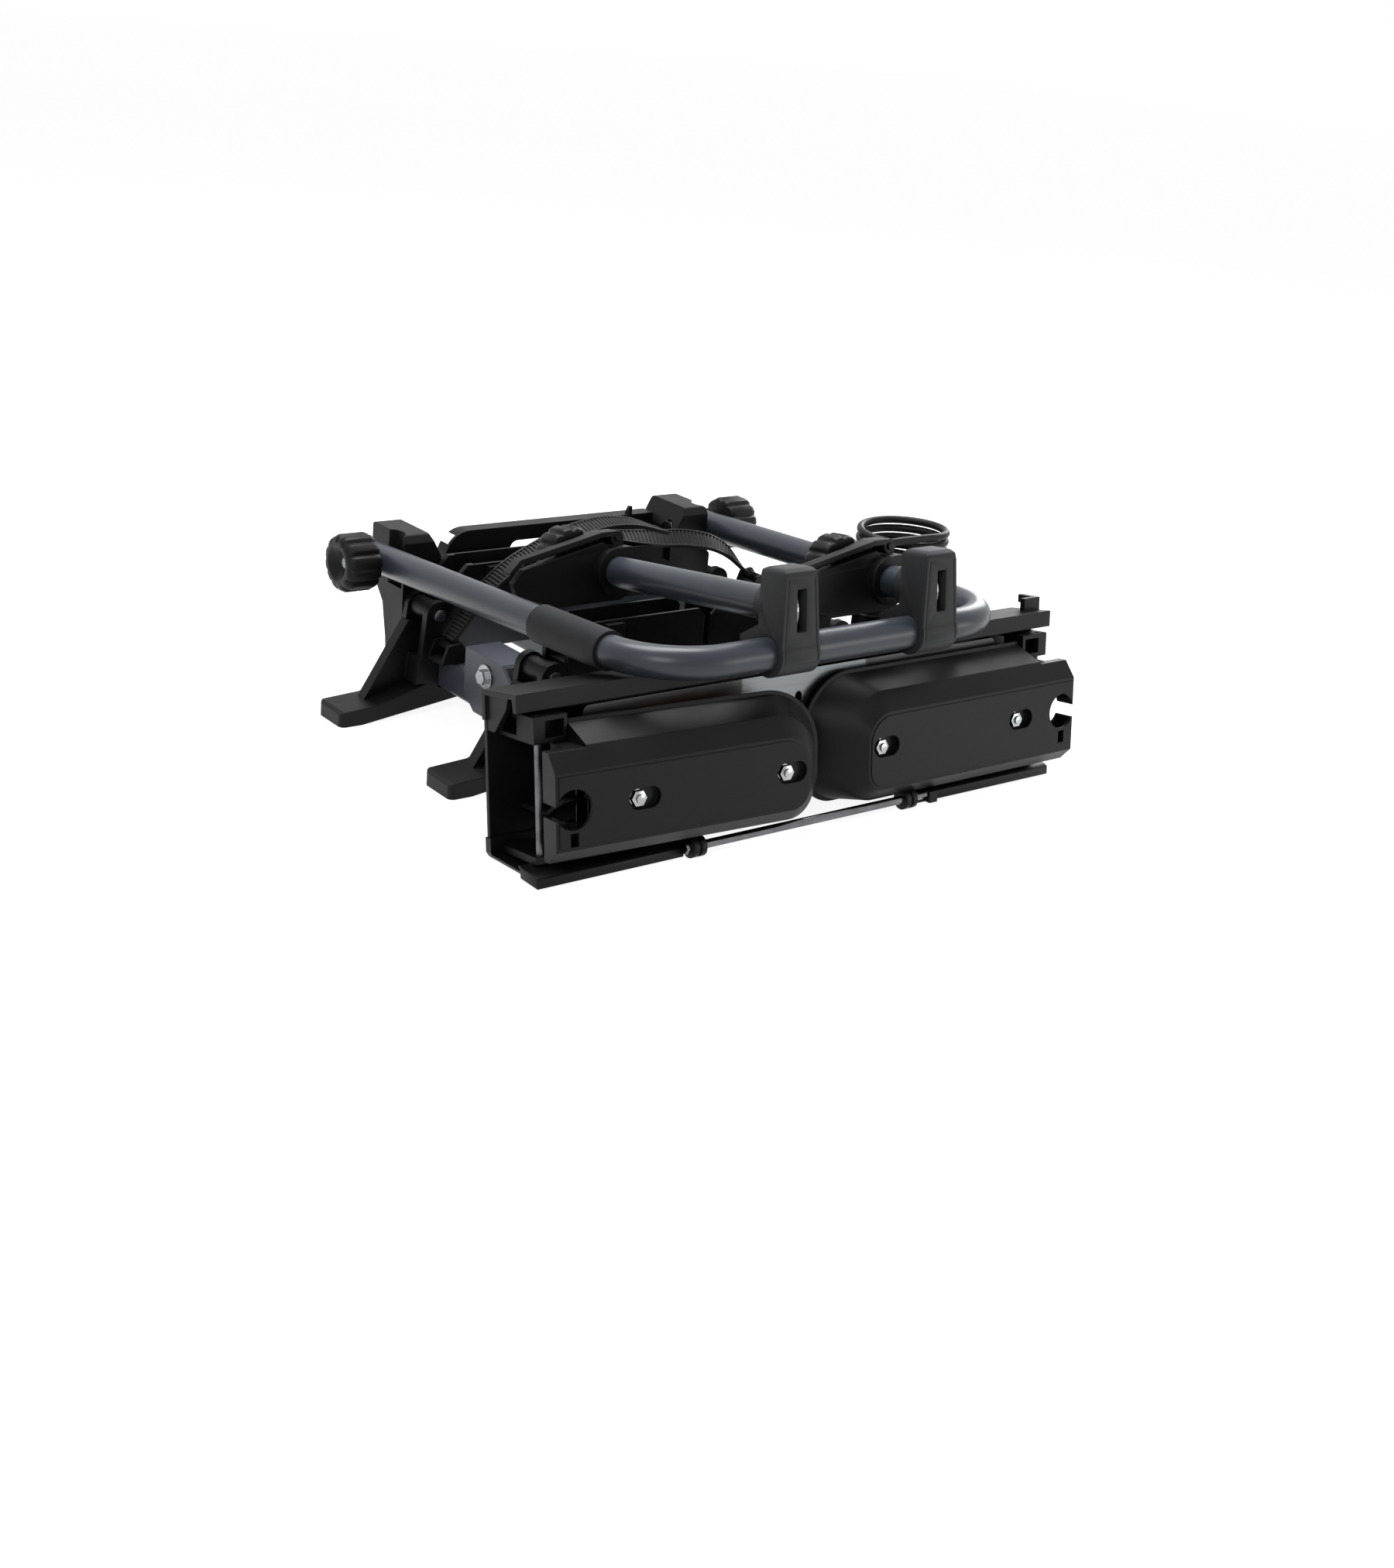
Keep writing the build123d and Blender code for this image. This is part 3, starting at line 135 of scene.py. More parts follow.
def lead_points():
    """Control points of the plug lead: gland, coil turns and the drop to the plug."""
    total = 360 * COIL_TURNS + 180
    count = round(total / 360 * POINTS_PER_TURN)
    start = Vector((GLAND_X, COIL.y + COIL_R, COIL.z - 0.0003))
    points = [start, start + Vector((0.008, 0, 0)), start + Vector((0.017, 0, 0.0001))]
    spread = COIL_R / cos(pi / POINTS_PER_TURN)
    for step in range(count):
        turned = radians((step + 0.5) * 360 / POINTS_PER_TURN)
        angle = pi / 2 - turned
        rise = COIL_PITCH * turned / (2 * pi)
        points.append(COIL + Vector((spread * cos(angle), spread * sin(angle), rise)))
    top = COIL.z + COIL_PITCH * total / 360 + 0.0006
    last_y = COIL.y - COIL_R
    points.append(Vector((COIL.x - 0.012, last_y, top)))
    points.append(Vector((PLUG_X + BEND_R, last_y, top)))
    points.append(Vector((PLUG_X + 0.012, last_y, top - 0.0002)))
    points.append(Vector((PLUG_X, last_y, top - 0.012)))
    points.append(Vector((PLUG_X, last_y, top - BEND_R)))
    points.append(Vector((PLUG_X, last_y, top - BEND_R - 2 * LEAD_R)))
    return points


lead, lead_path = add_spline("plug_lead", lead_points(), LEAD_R)
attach(lead, "u_frame")
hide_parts("lead_coil")


def cable_points(side, swing):
    """Control points of a light unit's cable, from the panel's back wall into the unit."""
    inward = Vector((-side, 0, 0)) * cos(swing) + VIEW * sin(swing)
    view = VIEW * cos(swing) + Vector((side, 0, 0)) * sin(swing)
    rod = leaned(side * ROD_X, PANEL_FRONT, 0)
    entry = rod + inward * 0.030 + view * 0.011 + UP * -0.106
    x = side * CABLE_X
    return [
        leaned(x, PANEL_WALL, -0.124), leaned(x, 0.075, -0.124), leaned(x, 0.056, -0.124),
        entry - inward * 0.015, entry,
    ]


cables = []
for side, name, swing in ((-1, "left", CAD_LEFT_SWING), (1, "right", 0)):
    points = cable_points(side, swing)
    cable, path = add_spline(f"light_cable_{name}", points, LIGHT_CABLE_R)
    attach(cable, "platform")
    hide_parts("light_cables")
    cables.append(cable)


# Shapes built from rings of points
CORNER_STEPS = 6


def new_piece(name, build):
    """Object with a bmesh's faces, all turned outward."""
    bmesh.ops.recalc_face_normals(build, faces=build.faces)
    mesh = bpy.data.meshes.new(name)
    build.to_mesh(mesh)
    build.free()
    piece = bpy.data.objects.new(name, mesh)
    bpy.context.collection.objects.link(piece)
    return piece


def loft(name, rings):
    """Closed solid through rings of equally many points."""
    build = bmesh.new()
    loops = [[build.verts.new(point) for point in ring] for ring in rings]
    for one, two in zip(loops, loops[1:]):
        for count in range(len(one)):
            following = (count + 1) % len(one)
            build.faces.new((one[count], one[following], two[following], two[count]))
    build.faces.new(reversed(loops[0]))
    build.faces.new(loops[-1])
    return new_piece(name, build)


def across_panel(outline, x0, x1):
    """Solid across the panel from an outline in depth and height."""
    rings = [[leaned(x, depth, height) for depth, height in outline] for x in (x0, x1)]
    return loft("tool", rings)


def through_panel(x, outline, depth0, depth1, lift=0):
    """Solid through the panel from an outline around x, lifted above the front tube."""
    return loft("tool", [
        [leaned(x + a, depth, lift + b) for a, b in outline] for depth in (depth0, depth1)
    ])


def combine(piece, tool, operation):
    """Cut a tool from a piece, or join it on, and delete the tool."""
    modifier = piece.modifiers.new("shape", "BOOLEAN")
    modifier.object = tool
    modifier.operation = operation
    modifier.solver = "EXACT"
    graph = bpy.context.evaluated_depsgraph_get()
    mesh = bpy.data.meshes.new_from_object(piece.evaluated_get(graph))
    piece.modifiers.clear()
    piece.data = mesh
    bpy.data.objects.remove(tool)


def soften(piece, width, angle=32):
    """Small rounded edges where faces meet at more than the angle, and smooth shading."""
    modifier = piece.modifiers.new("edges", "BEVEL")
    modifier.width = width
    modifier.segments = 2
    modifier.limit_method = "ANGLE"
    modifier.angle_limit = radians(angle)
    graph = bpy.context.evaluated_depsgraph_get()
    mesh = bpy.data.meshes.new_from_object(piece.evaluated_get(graph))
    piece.modifiers.clear()
    mesh.shade_smooth()
    mesh.set_sharp_from_angle(angle=radians(angle))
    piece.data = mesh


def circle(x, y, radius, count=32):
    """Outline of a circle with this many points."""
    return [
        (x + radius * cos(2 * pi * step / count), y + radius * sin(2 * pi * step / count))
        for step in range(count)
    ]


def oval(x, y, length, height):
    """Slot outline with round ends, its longer side along the first axis."""
    points = []
    radius = height / 2
    for end, first in ((1, -90), (-1, 90)):
        for step in range(13):
            turn = radians(first + 15 * step)
            points.append((
                x + end * (length / 2 - radius) + radius * cos(turn), y + radius * sin(turn)
            ))
    return points


def rectangle(x0, y0, x1, y1):
    return [(x0, y0), (x1, y0), (x1, y1), (x0, y1)]


def rounded(points, radius):
    """Closed outline with its corners rounded."""
    result = []
    for count, corner in enumerate(points):
        corner = Vector(corner)
        before = (Vector(points[count - 1]) - corner).normalized()
        after = (Vector(points[(count + 1) % len(points)]) - corner).normalized()
        half = before.angle(after) / 2
        middle = corner + (before + after).normalized() * (radius / sin(half))
        first = corner + before * (radius / tan(half)) - middle
        last = corner + after * (radius / tan(half)) - middle
        for step in range(CORNER_STEPS + 1):
            way = first.lerp(last, step / CORNER_STEPS).normalized()
            result.append(tuple(middle + way * radius))
    return result


# Wheel straps: where each starts and ends on the platform, its heights and its width.
# Places are x and the distance behind the front tube.
STRAPS = {
    "a_left": (
        (-0.176, 0.3807), (0.084, 0.3807), (0.084, 0.140, 0.168, 0.184, 0.186, 0.172), 0.021
    ),
    "a_right": (
        (0.030, 0.425), (0.196, 0.369), (0.161, 0.1585, 0.157, 0.1565, 0.148, 0.118), 0.022
    ),
    "b_left": ((-0.129, 0.215), (-0.020, 0.215), (0.1125, 0.114, 0.1125, 0.116), 0.022),
    "b_right": ((0.075, 0.300), (-0.030, 0.254), (0.1065, 0.111, 0.118, 0.120), 0.022),
}
# Tilt in the middle of the straps that the photograph shows twisted
STRAP_TILTS = {"a_right": radians(38), "a_left": radians(20)}
STRAP_T = 0.004
RIB_PITCH = 0.0042
RIB_DEPTH = 0.0015
RIB_SINK = 0.0002
RAIL_W = 0.0018


def strap_course(start, finish, heights):
    """Evenly spaced points of a strap's middle line, a quarter of a rib apart."""
    data = bpy.data.curves.new("course", "CURVE")
    data.dimensions = "3D"
    data.resolution_u = 48
    spline = data.splines.new("BEZIER")
    spline.bezier_points.add(len(heights) - 1)
    for count, height in enumerate(heights):
        share = count / (len(heights) - 1)
        x, y = (a + (b - a) * share for a, b in zip(start, finish))
        point = spline.bezier_points[count]
        point.co = (x, FRONT.y + y, height)
        point.handle_left_type = point.handle_right_type = "AUTO"
    holder = bpy.data.objects.new("course", data)
    bpy.context.collection.objects.link(holder)
    line = [vertex.co.copy() for vertex in bpy.data.meshes.new_from_object(holder).vertices]
    bpy.data.objects.remove(holder)
    points = [line[0]]
    gap = RIB_PITCH / 4
    remaining = gap
    for a, b in zip(line, line[1:]):
        run = (b - a).length
        done = 0.0
        while run - done >= remaining:
            done += remaining
            points.append(a.lerp(b, done / run))
            remaining = gap
        remaining -= run - done
    return points


def add_strap(name, start, finish, heights, width, tilt):
    """Ladder strap, tilted in the middle: rails along the edges, ratchet ribs across."""
    points = strap_course(start, finish, heights)
    along = (Vector((*finish, 0)) - Vector((*start, 0))).normalized()
    side = along.cross(Vector((0, 0, 1)))
    half_t = STRAP_T / 2
    inner = width / 2 - RAIL_W
    rings = []
    for count, point in enumerate(points):
        before = points[max(count - 1, 0)]
        after = points[min(count + 1, len(points) - 1)]
        onward = (after - before).normalized()
        turn = Matrix.Rotation(tilt * sin(pi * count / len(points)), 3, onward)
        across = turn @ side
        up = turn @ side.cross(onward)
        rib = half_t - (RIB_SINK if count % 4 in (1, 2) else RIB_DEPTH)
        section = [
            (-width / 2, -half_t), (-width / 2, half_t), (-inner, half_t), (-inner, rib),
            (inner, rib), (inner, half_t), (width / 2, half_t), (width / 2, -half_t),
        ]
        rings.append([point + across * u + up * v for u, v in section])
    return loft(name, rings)


straps = []
for name, (start, finish, heights, width) in STRAPS.items():
    strap = add_strap(
        f"ribbed_strap_{name}", start, finish, heights, width, STRAP_TILTS.get(name, 0)
    )
    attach(strap, f"tray_{name}")
    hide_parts(f"wheel_strap_{name}")
    straps.append(strap)


# Light units: the photograph's hoods, larger and nearer the panel than their plain solids
UNIT_START = -0.009
UNIT_MID = -0.105
UNIT_WALL = 0.0025
HOOD_START = 0.028
LEDGE_TOP = -0.057
LEDGE_BACK = 0.024
EAR_END = 0.012
# Depth, top, foot and the two corner radii of the hood's three outlines
RIM = (0.0, -0.041, -0.1525, 0.055, 0.035)
CREASE = (0.032, -0.055, -0.1520, 0.042, 0.028)
FACE = (0.045, -0.073, -0.140, 0.028, 0.020)
FACE_W = FACE[0]
CREASE_PAST_FACE = 0.012
RAISED = 0.001
RAISED_INSET = 0.003
KEYHOLE_R = 0.0175
KEYHOLE_U = 0.008
POCKET_FLOOR = FACE_W + RAISED - 0.007
POCKET_SHIFT = 0.005
NUT_OUTER = 0.072
NUT_FLATS = 0.013
WASHER_R = 0.0074
STUD_R = 0.004


class Unit:
    """One light unit: u runs inward from its rod, w towards the viewer and h up."""

    def __init__(self, sign, swing, rim_end, face_end, drop, lean, nut_inner):
        self.sign = sign
        self.lean = lean
        self.ends = {RIM: rim_end, CREASE: face_end + CREASE_PAST_FACE, FACE: face_end}
        self.drop = drop
        self.nuts = {"outer": NUT_OUTER, "inner": nut_inner}
        self.origin = leaned(sign * ROD_X, PANEL_FRONT, 0)
        inward = Vector((-sign, 0, 0))
        self.u_dir = inward * cos(swing) + VIEW * sin(swing)
        self.view = VIEW * cos(swing) - inward * sin(swing)

    def ring(self, outline, w):
        """Ring at one depth; the rim's plane leans off the panel, the face's doesn't."""
        lean = self.lean * (1 - w / FACE_W)
        return [
            self.origin + self.u_dir * u + self.view * (w + lean * u) + UP * h for u, h in outline
        ]

    def prism(self, outline, w0, w1):
        return loft("tool", [self.ring(outline, w0), self.ring(outline, w1)])

    def outline(self, form, inset=0.0, start=UNIT_START):
        """Outline of the unit at one depth, its two inner corners round."""
        top, foot, top_r, foot_r = form[1:]
        u0, u1 = start + inset, self.ends[form] - inset
        top, foot = top - inset, foot - self.drop + inset
        top_r, foot_r = top_r - inset, foot_r - inset
        points = [(u0, foot), (u0, top)]
        for radius, h, first in ((top_r, top - top_r, 90), (foot_r, foot + foot_r, 0)):
            for step in range(17):
                turn = radians(first - 90 * step / 16)
                points.append((u1 - radius + radius * cos(turn), h + radius * sin(turn)))
        return points

    def filled(self, wall):
        """Hood as a full solid, wall inside its outer faces."""
        sinks = (0.002 if wall else 0, 0, wall)
        shape = loft("form", [
            self.ring(self.outline(form, wall), form[0] - sink)
            for form, sink in zip((RIM, CREASE, FACE), sinks)
        ])
        edge = UNIT_START - 0.001
        corner = rectangle(edge, LEDGE_TOP - wall, HOOD_START + wall, 0)
        combine(shape, self.prism(corner, -0.001, FACE_W + 0.001), "DIFFERENCE")
        corner = rectangle(edge, RIM[2] - self.drop - 0.001, EAR_END + wall, 0)
        combine(shape, self.prism(corner, -0.001, LEDGE_BACK + wall), "DIFFERENCE")
        return shape

    def hood(self):
        """Moulded hood: rim lip, creased shell, raised face, nut pockets and keyhole."""
        hood = self.filled(0)
        lip = self.outline(RIM, -UNIT_WALL, HOOD_START + UNIT_WALL)
        combine(hood, self.prism(lip, -0.0004, 0.002), "UNION")
        raised = self.outline(FACE, RAISED_INSET)
        combine(hood, self.prism(raised, FACE_W - 0.001, FACE_W + RAISED), "UNION")
        combine(hood, self.filled(UNIT_WALL), "DIFFERENCE")
        for u in self.nuts.values():
            middle = u - self.sign * POCKET_SHIFT
            cup = oval(middle, UNIT_MID, 0.035, 0.022)
            combine(hood, self.prism(cup, POCKET_FLOOR - UNIT_WALL, FACE_W + 0.0006), "UNION")
            cup = oval(middle, UNIT_MID, 0.032, 0.019)
            combine(hood, self.prism(cup, POCKET_FLOOR, FACE_W + 0.003), "DIFFERENCE")
        u, h = KEYHOLE_U, UNIT_MID
        keyhole = circle(u, h, KEYHOLE_R, 40)
        slot = rectangle(u - 0.040, h - 0.008, u, h + 0.004)
        square_hole = rectangle(u - 0.004, h - 0.032, u + 0.004, h - 0.020)
        for cut in (keyhole, slot, square_hole):
            combine(hood, self.prism(cut, -0.002, FACE_W + 0.004), "DIFFERENCE")
        soften(hood, 0.0008, 12)
        return hood

    def nut(self, u):
        """Washer, hexagon nut and stud end, on the floor of a pocket."""
        floor = POCKET_FLOOR
        nut = self.prism(circle(u, UNIT_MID, WASHER_R), floor, floor + 0.0012)
        hexagon = circle(u, UNIT_MID, NUT_FLATS / 2 / cos(pi / 6), 6)
        combine(nut, self.prism(hexagon, floor + 0.001, floor + 0.0062), "UNION")
        stud = circle(u, UNIT_MID, STUD_R, 24)
        combine(nut, self.prism(stud, floor + 0.006, floor + 0.0088), "UNION")
        soften(nut, 0.0005)
        return nut

    def lens(self):
        """Lens that closes the rim, with its tray inside."""
        lens = self.prism(self.outline(RIM, 0.0035, HOOD_START + 0.003), 0.0, 0.003)
        tray = self.outline(RIM, 0.009, HOOD_START + 0.006)
        combine(lens, self.prism(tray, 0.002, 0.008), "UNION")
        soften(lens, 0.0006)
        return lens


UNITS = {
    "left": Unit(
        -1, swing=radians(4.5), rim_end=0.284, face_end=0.2515, drop=0, lean=0.024,
        nut_inner=0.2255,
    ),
    "right": Unit(
        1, swing=0, rim_end=0.310, face_end=0.268, drop=0.0065, lean=0, nut_inner=0.2515
    ),
}
hoods, nuts, lenses = [], [], []
for side, unit in UNITS.items():
    hood = unit.hood()
    hood.name = f"light_hood_{side}"
    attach(hood, f"light_{side}")
    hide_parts(f"light_shell_{side}")
    hoods.append(hood)
    for place, u in unit.nuts.items():
        nut = unit.nut(u)
        nut.name = f"light_nut_{side}_{place}"
        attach(nut, f"light_{side}")
        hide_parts(f"light_nuts_{side}")
        nuts.append(nut)
    lens = unit.lens()
    lens.name = f"light_cover_{side}"
    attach(lens, f"light_{side}")
    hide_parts(f"light_lens_{side}")
    lenses.append(lens)


# Knobs
FLUTES = 12
FLUTE_DEPTH = 0.0028
POINTS_PER_FLUTE = 8
KNOB_R = 0.029
PIVOT_KNOB_T = 0.036
PIVOT_KNOB_SEAT = 0.0153


def knob_rings(seat, x_dir, y_dir, axis, radius, thick):
    """Rings of a fluted knob from its seat outward, ending in the cone of its crown."""
    profile = (
        (0.0, radius - 0.002, 1), (0.005, radius, 1), (thick - 0.007, radius, 1),
        (thick - 0.002, radius - 0.0025, 1), (thick, radius - 0.006, 0.5), (thick, 0.017, 0),
        (thick - 0.010, 0.006, 0), (thick - 0.010, 0.001, 0),
    )
    rings = []
    for height, ring_r, fluting in profile:
        ring = []
        for step in range(FLUTES * POINTS_PER_FLUTE):
            turn = 2 * pi * step / (FLUTES * POINTS_PER_FLUTE)
            groove = max(0.0, cos(FLUTES * turn)) ** 2 * FLUTE_DEPTH * fluting
            reach = ring_r - groove
            ring.append(seat + axis * height + (x_dir * cos(turn) + y_dir * sin(turn)) * reach)
        rings.append(ring)
    return rings


def add_knob(name, seat, x_dir, y_dir, axis, radius, thick):
    """Fluted knob on its seat, facing along the axis."""
    knob = loft(name, knob_rings(seat, x_dir, y_dir, axis, radius, thick))
    soften(knob, 0.0006, 40)
    return knob


knobs = []
for sign, side in ((-1, "left"), (1, "right")):
    seat = PIVOT + Vector((sign * (ARM_SIDE + PIVOT_KNOB_SEAT), 0, 0))
    knob = add_knob(
        f"clamping_knob_{side}", seat, Vector((0, 1, 0)), Vector((0, 0, 1)), Vector((sign, 0, 0)),
        KNOB_R, PIVOT_KNOB_T,
    )
    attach(knob, f"knob_{side}")
    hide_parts(f"pivot_knob_{side}")
    knobs.append(knob)


# Holder heads: a thin curved jaw, its ratchet band and the knob behind.
# Each head has its x and its depth behind the front tube.
HEADS = {1: (-0.068, 0.257), 2: (0.101, 0.054)}
HEAD_T = 0.026
HEAD_SLEEVE_R = 0.023
HEAD_BORE_R = 0.0151
HEAD_KNOB_AT = (-0.028, 0.013)
HEAD_KNOB_T = 0.030
BAND_PIN = (0.006, 0.031)
BAND_PIN_R = 0.003
BAND_EYE_R = 0.007
BAND_TEETH = 9
BAND_PITCH = 0.009
BAND_RISE = 18 / 92


def head_prism(x, outline, depth0, depth1):
    """Solid from an outline around the axis of an arm tube."""
    return through_panel(x, outline, depth0, depth1, ARM_H)


def add_head(number, x, depth):
    """Jaw with a hollow back, the sleeve of its arm tube and the channel for the band."""
    face = rounded([
        (0.022, 0.033), (0.012, 0.037), (-0.010, 0.037), (-0.108, 0.018), (-0.117, 0.002),
        (-0.112, -0.014), (-0.068, -0.029), (0.008, -0.029), (0.024, -0.020),
    ], 0.004)
    head = head_prism(x, face, depth, depth + HEAD_T)
    back = []
    for step in range(13):
        share = step / 12
        back.append((-0.130 + 0.128 * share, 0.007 + 0.019 * share ** 1.6))
    back += [(-0.002, 0.060), (-0.130, 0.060)]
    rings = [
        [leaned(x + a, depth + b, ARM_H + h) for a, b in back] for h in (-0.045, 0.050)
    ]
    combine(head, loft("tool", rings), "DIFFERENCE")
    sleeve = circle(0, 0, HEAD_SLEEVE_R, 40)
    combine(head, head_prism(x, sleeve, depth - 0.008, depth + 0.006), "UNION")
    channel = [
        (0.026, 0.022), (-0.004, 0.022), (-0.012, 0.0285), (-0.104, 0.0105), (-0.130, -0.015),
        (-0.130, 0.060), (0.026, 0.060),
    ]
    combine(head, head_prism(x, channel, depth - 0.001, depth + 0.0144), "DIFFERENCE")
    pin = circle(*BAND_PIN, BAND_PIN_R, 20)
    combine(head, head_prism(x, pin, depth, depth + HEAD_T), "UNION")
    bore = circle(0, 0, HEAD_BORE_R, 40)
    combine(head, head_prism(x, bore, depth - 0.010, depth + 0.012), "DIFFERENCE")
    soften(head, 0.0012, 30)
    head.name = f"holder_head_{number}"
    return head


def add_band(number, x, depth):
    """Ratchet band over the head, with its eye and the teeth beneath."""
    strip = [
        (0.006, 0.038), (-0.012, 0.038), (-0.106, 0.020), (-0.119, 0.008), (-0.115, 0.006),
        (-0.104, 0.015), (-0.012, 0.033), (0.006, 0.033),
    ]
    near, far = depth + 0.002, depth + 0.014
    band = head_prism(x, strip, near, far)
    eye = circle(*BAND_PIN, BAND_EYE_R)
    combine(band, head_prism(x, eye, near, far), "UNION")
    hole = circle(*BAND_PIN, BAND_PIN_R + 0.0001)
    combine(band, head_prism(x, hole, depth + 0.001, depth + 0.015), "DIFFERENCE")
    for step in range(BAND_TEETH):
        back = 0.092 - step * BAND_PITCH
        height = 0.015 + (0.104 - back) * BAND_RISE
        tooth = [
            (-back, height + 0.0005), (-back + 0.0015, height - 0.0014),
            (-back + 0.0045, height - 0.0008), (-back + 0.006, height + 0.0017),
        ]
        combine(band, head_prism(x, tooth, depth + 0.004, depth + 0.012), "UNION")
    soften(band, 0.0005, 40)
    band.name = f"ratchet_band_{number}"
    return band


# A head's nodes and the bodies that they ride with
HEAD_BODIES = {"head_body": "head", "head_band": "band", "head_knob": "head_knob"}
heads = []
for number, (x, depth) in HEADS.items():
    head = add_head(number, x, depth)
    band = add_band(number, x, depth)
    seat = leaned(x + HEAD_KNOB_AT[0], depth + HEAD_T + 0.0003, ARM_H + HEAD_KNOB_AT[1])
    knob = add_knob(
        f"head_clamping_knob_{number}", seat, Vector((1, 0, 0)), UP, BACK, KNOB_R, HEAD_KNOB_T
    )
    for piece, (node, body) in zip((head, band, knob), HEAD_BODIES.items()):
        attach(piece, f"{body}_{number}")
        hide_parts(f"{node}_{number}")
        heads.append(piece)


# Clamps: tapered towers with round shoulders, a bordered slot and a bright band end in it
CLAMP_FRONT = -0.020
CLAMP_BACK = 0.014
CLAMP_TOP = 0.0755
CLAMP_FOOT = -0.026
CLAMP_SHOULDER = 0.004
CLAMP_HALF_TOP = 0.0175
CLAMP_HALF_LOW = 0.0225
CLAMP_CORNER_R = 0.0055
CLAMP_R = 0.0212
CLAMP_BORE_R = 0.0152
CLAMP_HALF = 0.030
BORDER_OUTER = 0.0028
BORDER_INNER = 0.0036
COLLAR_R = 0.0205
COLLAR_BORE_R = 0.01505
SLOT_HALF = 0.0055
SLOT_FOOT = 0.0195
SLOT_TOP = 0.0575


def clamp_front(inset=0.0):
    """Tapered outline of a clamp's tower and the band around the tube, seen from the front."""
    top, foot = CLAMP_TOP - inset, CLAMP_FOOT + inset
    half_top, half_low = CLAMP_HALF_TOP - inset, CLAMP_HALF_LOW - inset
    corners = [
        (-half_top, top), (half_top, top), (half_low, CLAMP_SHOULDER),
        (-half_low, CLAMP_SHOULDER),
    ]
    tower = rounded(corners, CLAMP_CORNER_R - inset)
    return tower[:len(tower) // 2] + [(half_low, foot), (-half_low, foot)] + tower[-1:]


def add_clamp(number, x):
    """Clamp round the front tube, with the socket for an arm tube behind."""
    side = [
        (-0.020, 0.0), (-0.020, 0.066), (-0.0185, 0.072), (-0.014, 0.0755), (0.008, 0.0755),
        (0.013, 0.073), (0.014, 0.068), (0.014, 0.024), (0.038, 0.012), (0.038, 0.007),
        (0.020, 0.004), (0.020, 0.0),
    ]
    left, right = x - CLAMP_HALF, x + CLAMP_HALF
    clamp = across_panel(side, left, right)
    combine(clamp, across_panel(circle(0, 0, CLAMP_R, 64), left, right), "UNION")
    combine(clamp, through_panel(x, clamp_front(), -0.060, 0.060), "INTERSECT")
    outer, inner = clamp_front(BORDER_OUTER), clamp_front(BORDER_INNER)
    border = through_panel(x, outer, CLAMP_FRONT - 0.002, CLAMP_FRONT + 0.0005)
    within = through_panel(x, inner, CLAMP_FRONT - 0.003, CLAMP_FRONT + 0.001)
    combine(border, within, "DIFFERENCE")
    combine(clamp, border, "DIFFERENCE")
    slot = rounded(rectangle(-SLOT_HALF, SLOT_FOOT, SLOT_HALF, SLOT_TOP), 0.0015)
    combine(clamp, through_panel(x, slot, CLAMP_FRONT - 0.001, -0.001), "DIFFERENCE")
    collar = circle(0, ARM_H, COLLAR_R, 48)
    combine(clamp, through_panel(x, collar, 0.010, CLAMP_BACK + 0.008), "UNION")
    socket = circle(0, ARM_H, COLLAR_BORE_R, 48)
    combine(clamp, through_panel(x, socket, 0.008, CLAMP_BACK + 0.009), "DIFFERENCE")
    bore = across_panel(circle(0, 0, CLAMP_BORE_R, 64), left - 0.001, right + 0.001)
    combine(clamp, bore, "DIFFERENCE")
    soften(clamp, 0.0009, 30)
    clamp.name = f"clamp_tower_{number}"
    return clamp


def add_clamp_band(number, x):
    """End of the bright steel band that shows in a clamp's slot."""
    curve = [
        (-0.0140 - 0.003 * sin(pi * step / 8), 0.0245 + 0.026 * step / 8) for step in range(9)
    ]
    curve += [(depth + 0.0012, height) for depth, height in reversed(curve)]
    band = across_panel(curve, x - 0.0052, x - 0.0008)
    band.name = f"clamp_band_{number}"
    return band


clamps, clamp_bands = [], []
for number, (x, _) in HEADS.items():
    clamp, band = add_clamp(number, x), add_clamp_band(number, x)
    for piece, slot in ((clamp, "black_plastic"), (band, "zinc")):
        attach(piece, f"arm_{number}")
        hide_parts(f"arm_clamp_{number}")
    clamps.append(clamp)
    clamp_bands.append(band)


# Polished rod along the foot of the panel, with a nut and a rubber disc at each end
ROD_AT = (0.016, -0.166)
ROD_ENDS = (-0.158, 0.098)
ROD_TIP = 0.126
ROD_R = 0.004
ROD_NUT_R = 0.0058
DISC_R = 0.0095
DISC_HALF = 0.007
DISC_GROOVE_R = 0.0075

bar = across_panel(circle(*ROD_AT, ROD_R, 24), ROD_ENDS[0] + 0.006, ROD_TIP)
bar.name = "panel_rod"
for end, way in zip(ROD_ENDS, (-1, 1)):
    nut = circle(*ROD_AT, ROD_NUT_R, 6)
    combine(bar, across_panel(nut, end + way * 0.006, end + way * 0.012), "UNION")
soften(bar, 0.0004)
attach(bar, "platform")
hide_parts("plate_rod")

# Flanges of the panel's low rails, which show under the light units
FLANGE = [
    (0.020, -0.1749), (0.046, -0.1711), (0.046, -0.1612), (0.024, -0.1640), (0.020, -0.1665)
]
flanges = []
for side, x0, x1 in (("left", -0.3215, -0.167), ("right", 0.112, 0.300)):
    flange = across_panel(FLANGE, x0, x1)
    soften(flange, 0.0008)
    flange.name = f"low_flange_{side}"
    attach(flange, "platform")
    flanges.append(flange)


def add_disc(side, end):
    """Disc with a groove round its middle."""
    disc = across_panel(circle(*ROD_AT, DISC_R, 36), end - DISC_HALF, end + DISC_HALF)
    groove = across_panel(circle(*ROD_AT, DISC_R + 0.001, 36), end - 0.0015, end + 0.0015)
    core = across_panel(circle(*ROD_AT, DISC_GROOVE_R, 36), end - 0.002, end + 0.002)
    combine(groove, core, "DIFFERENCE")
    combine(disc, groove, "DIFFERENCE")
    soften(disc, 0.0012)
    disc.name = f"rod_disc_{side}"
    return disc


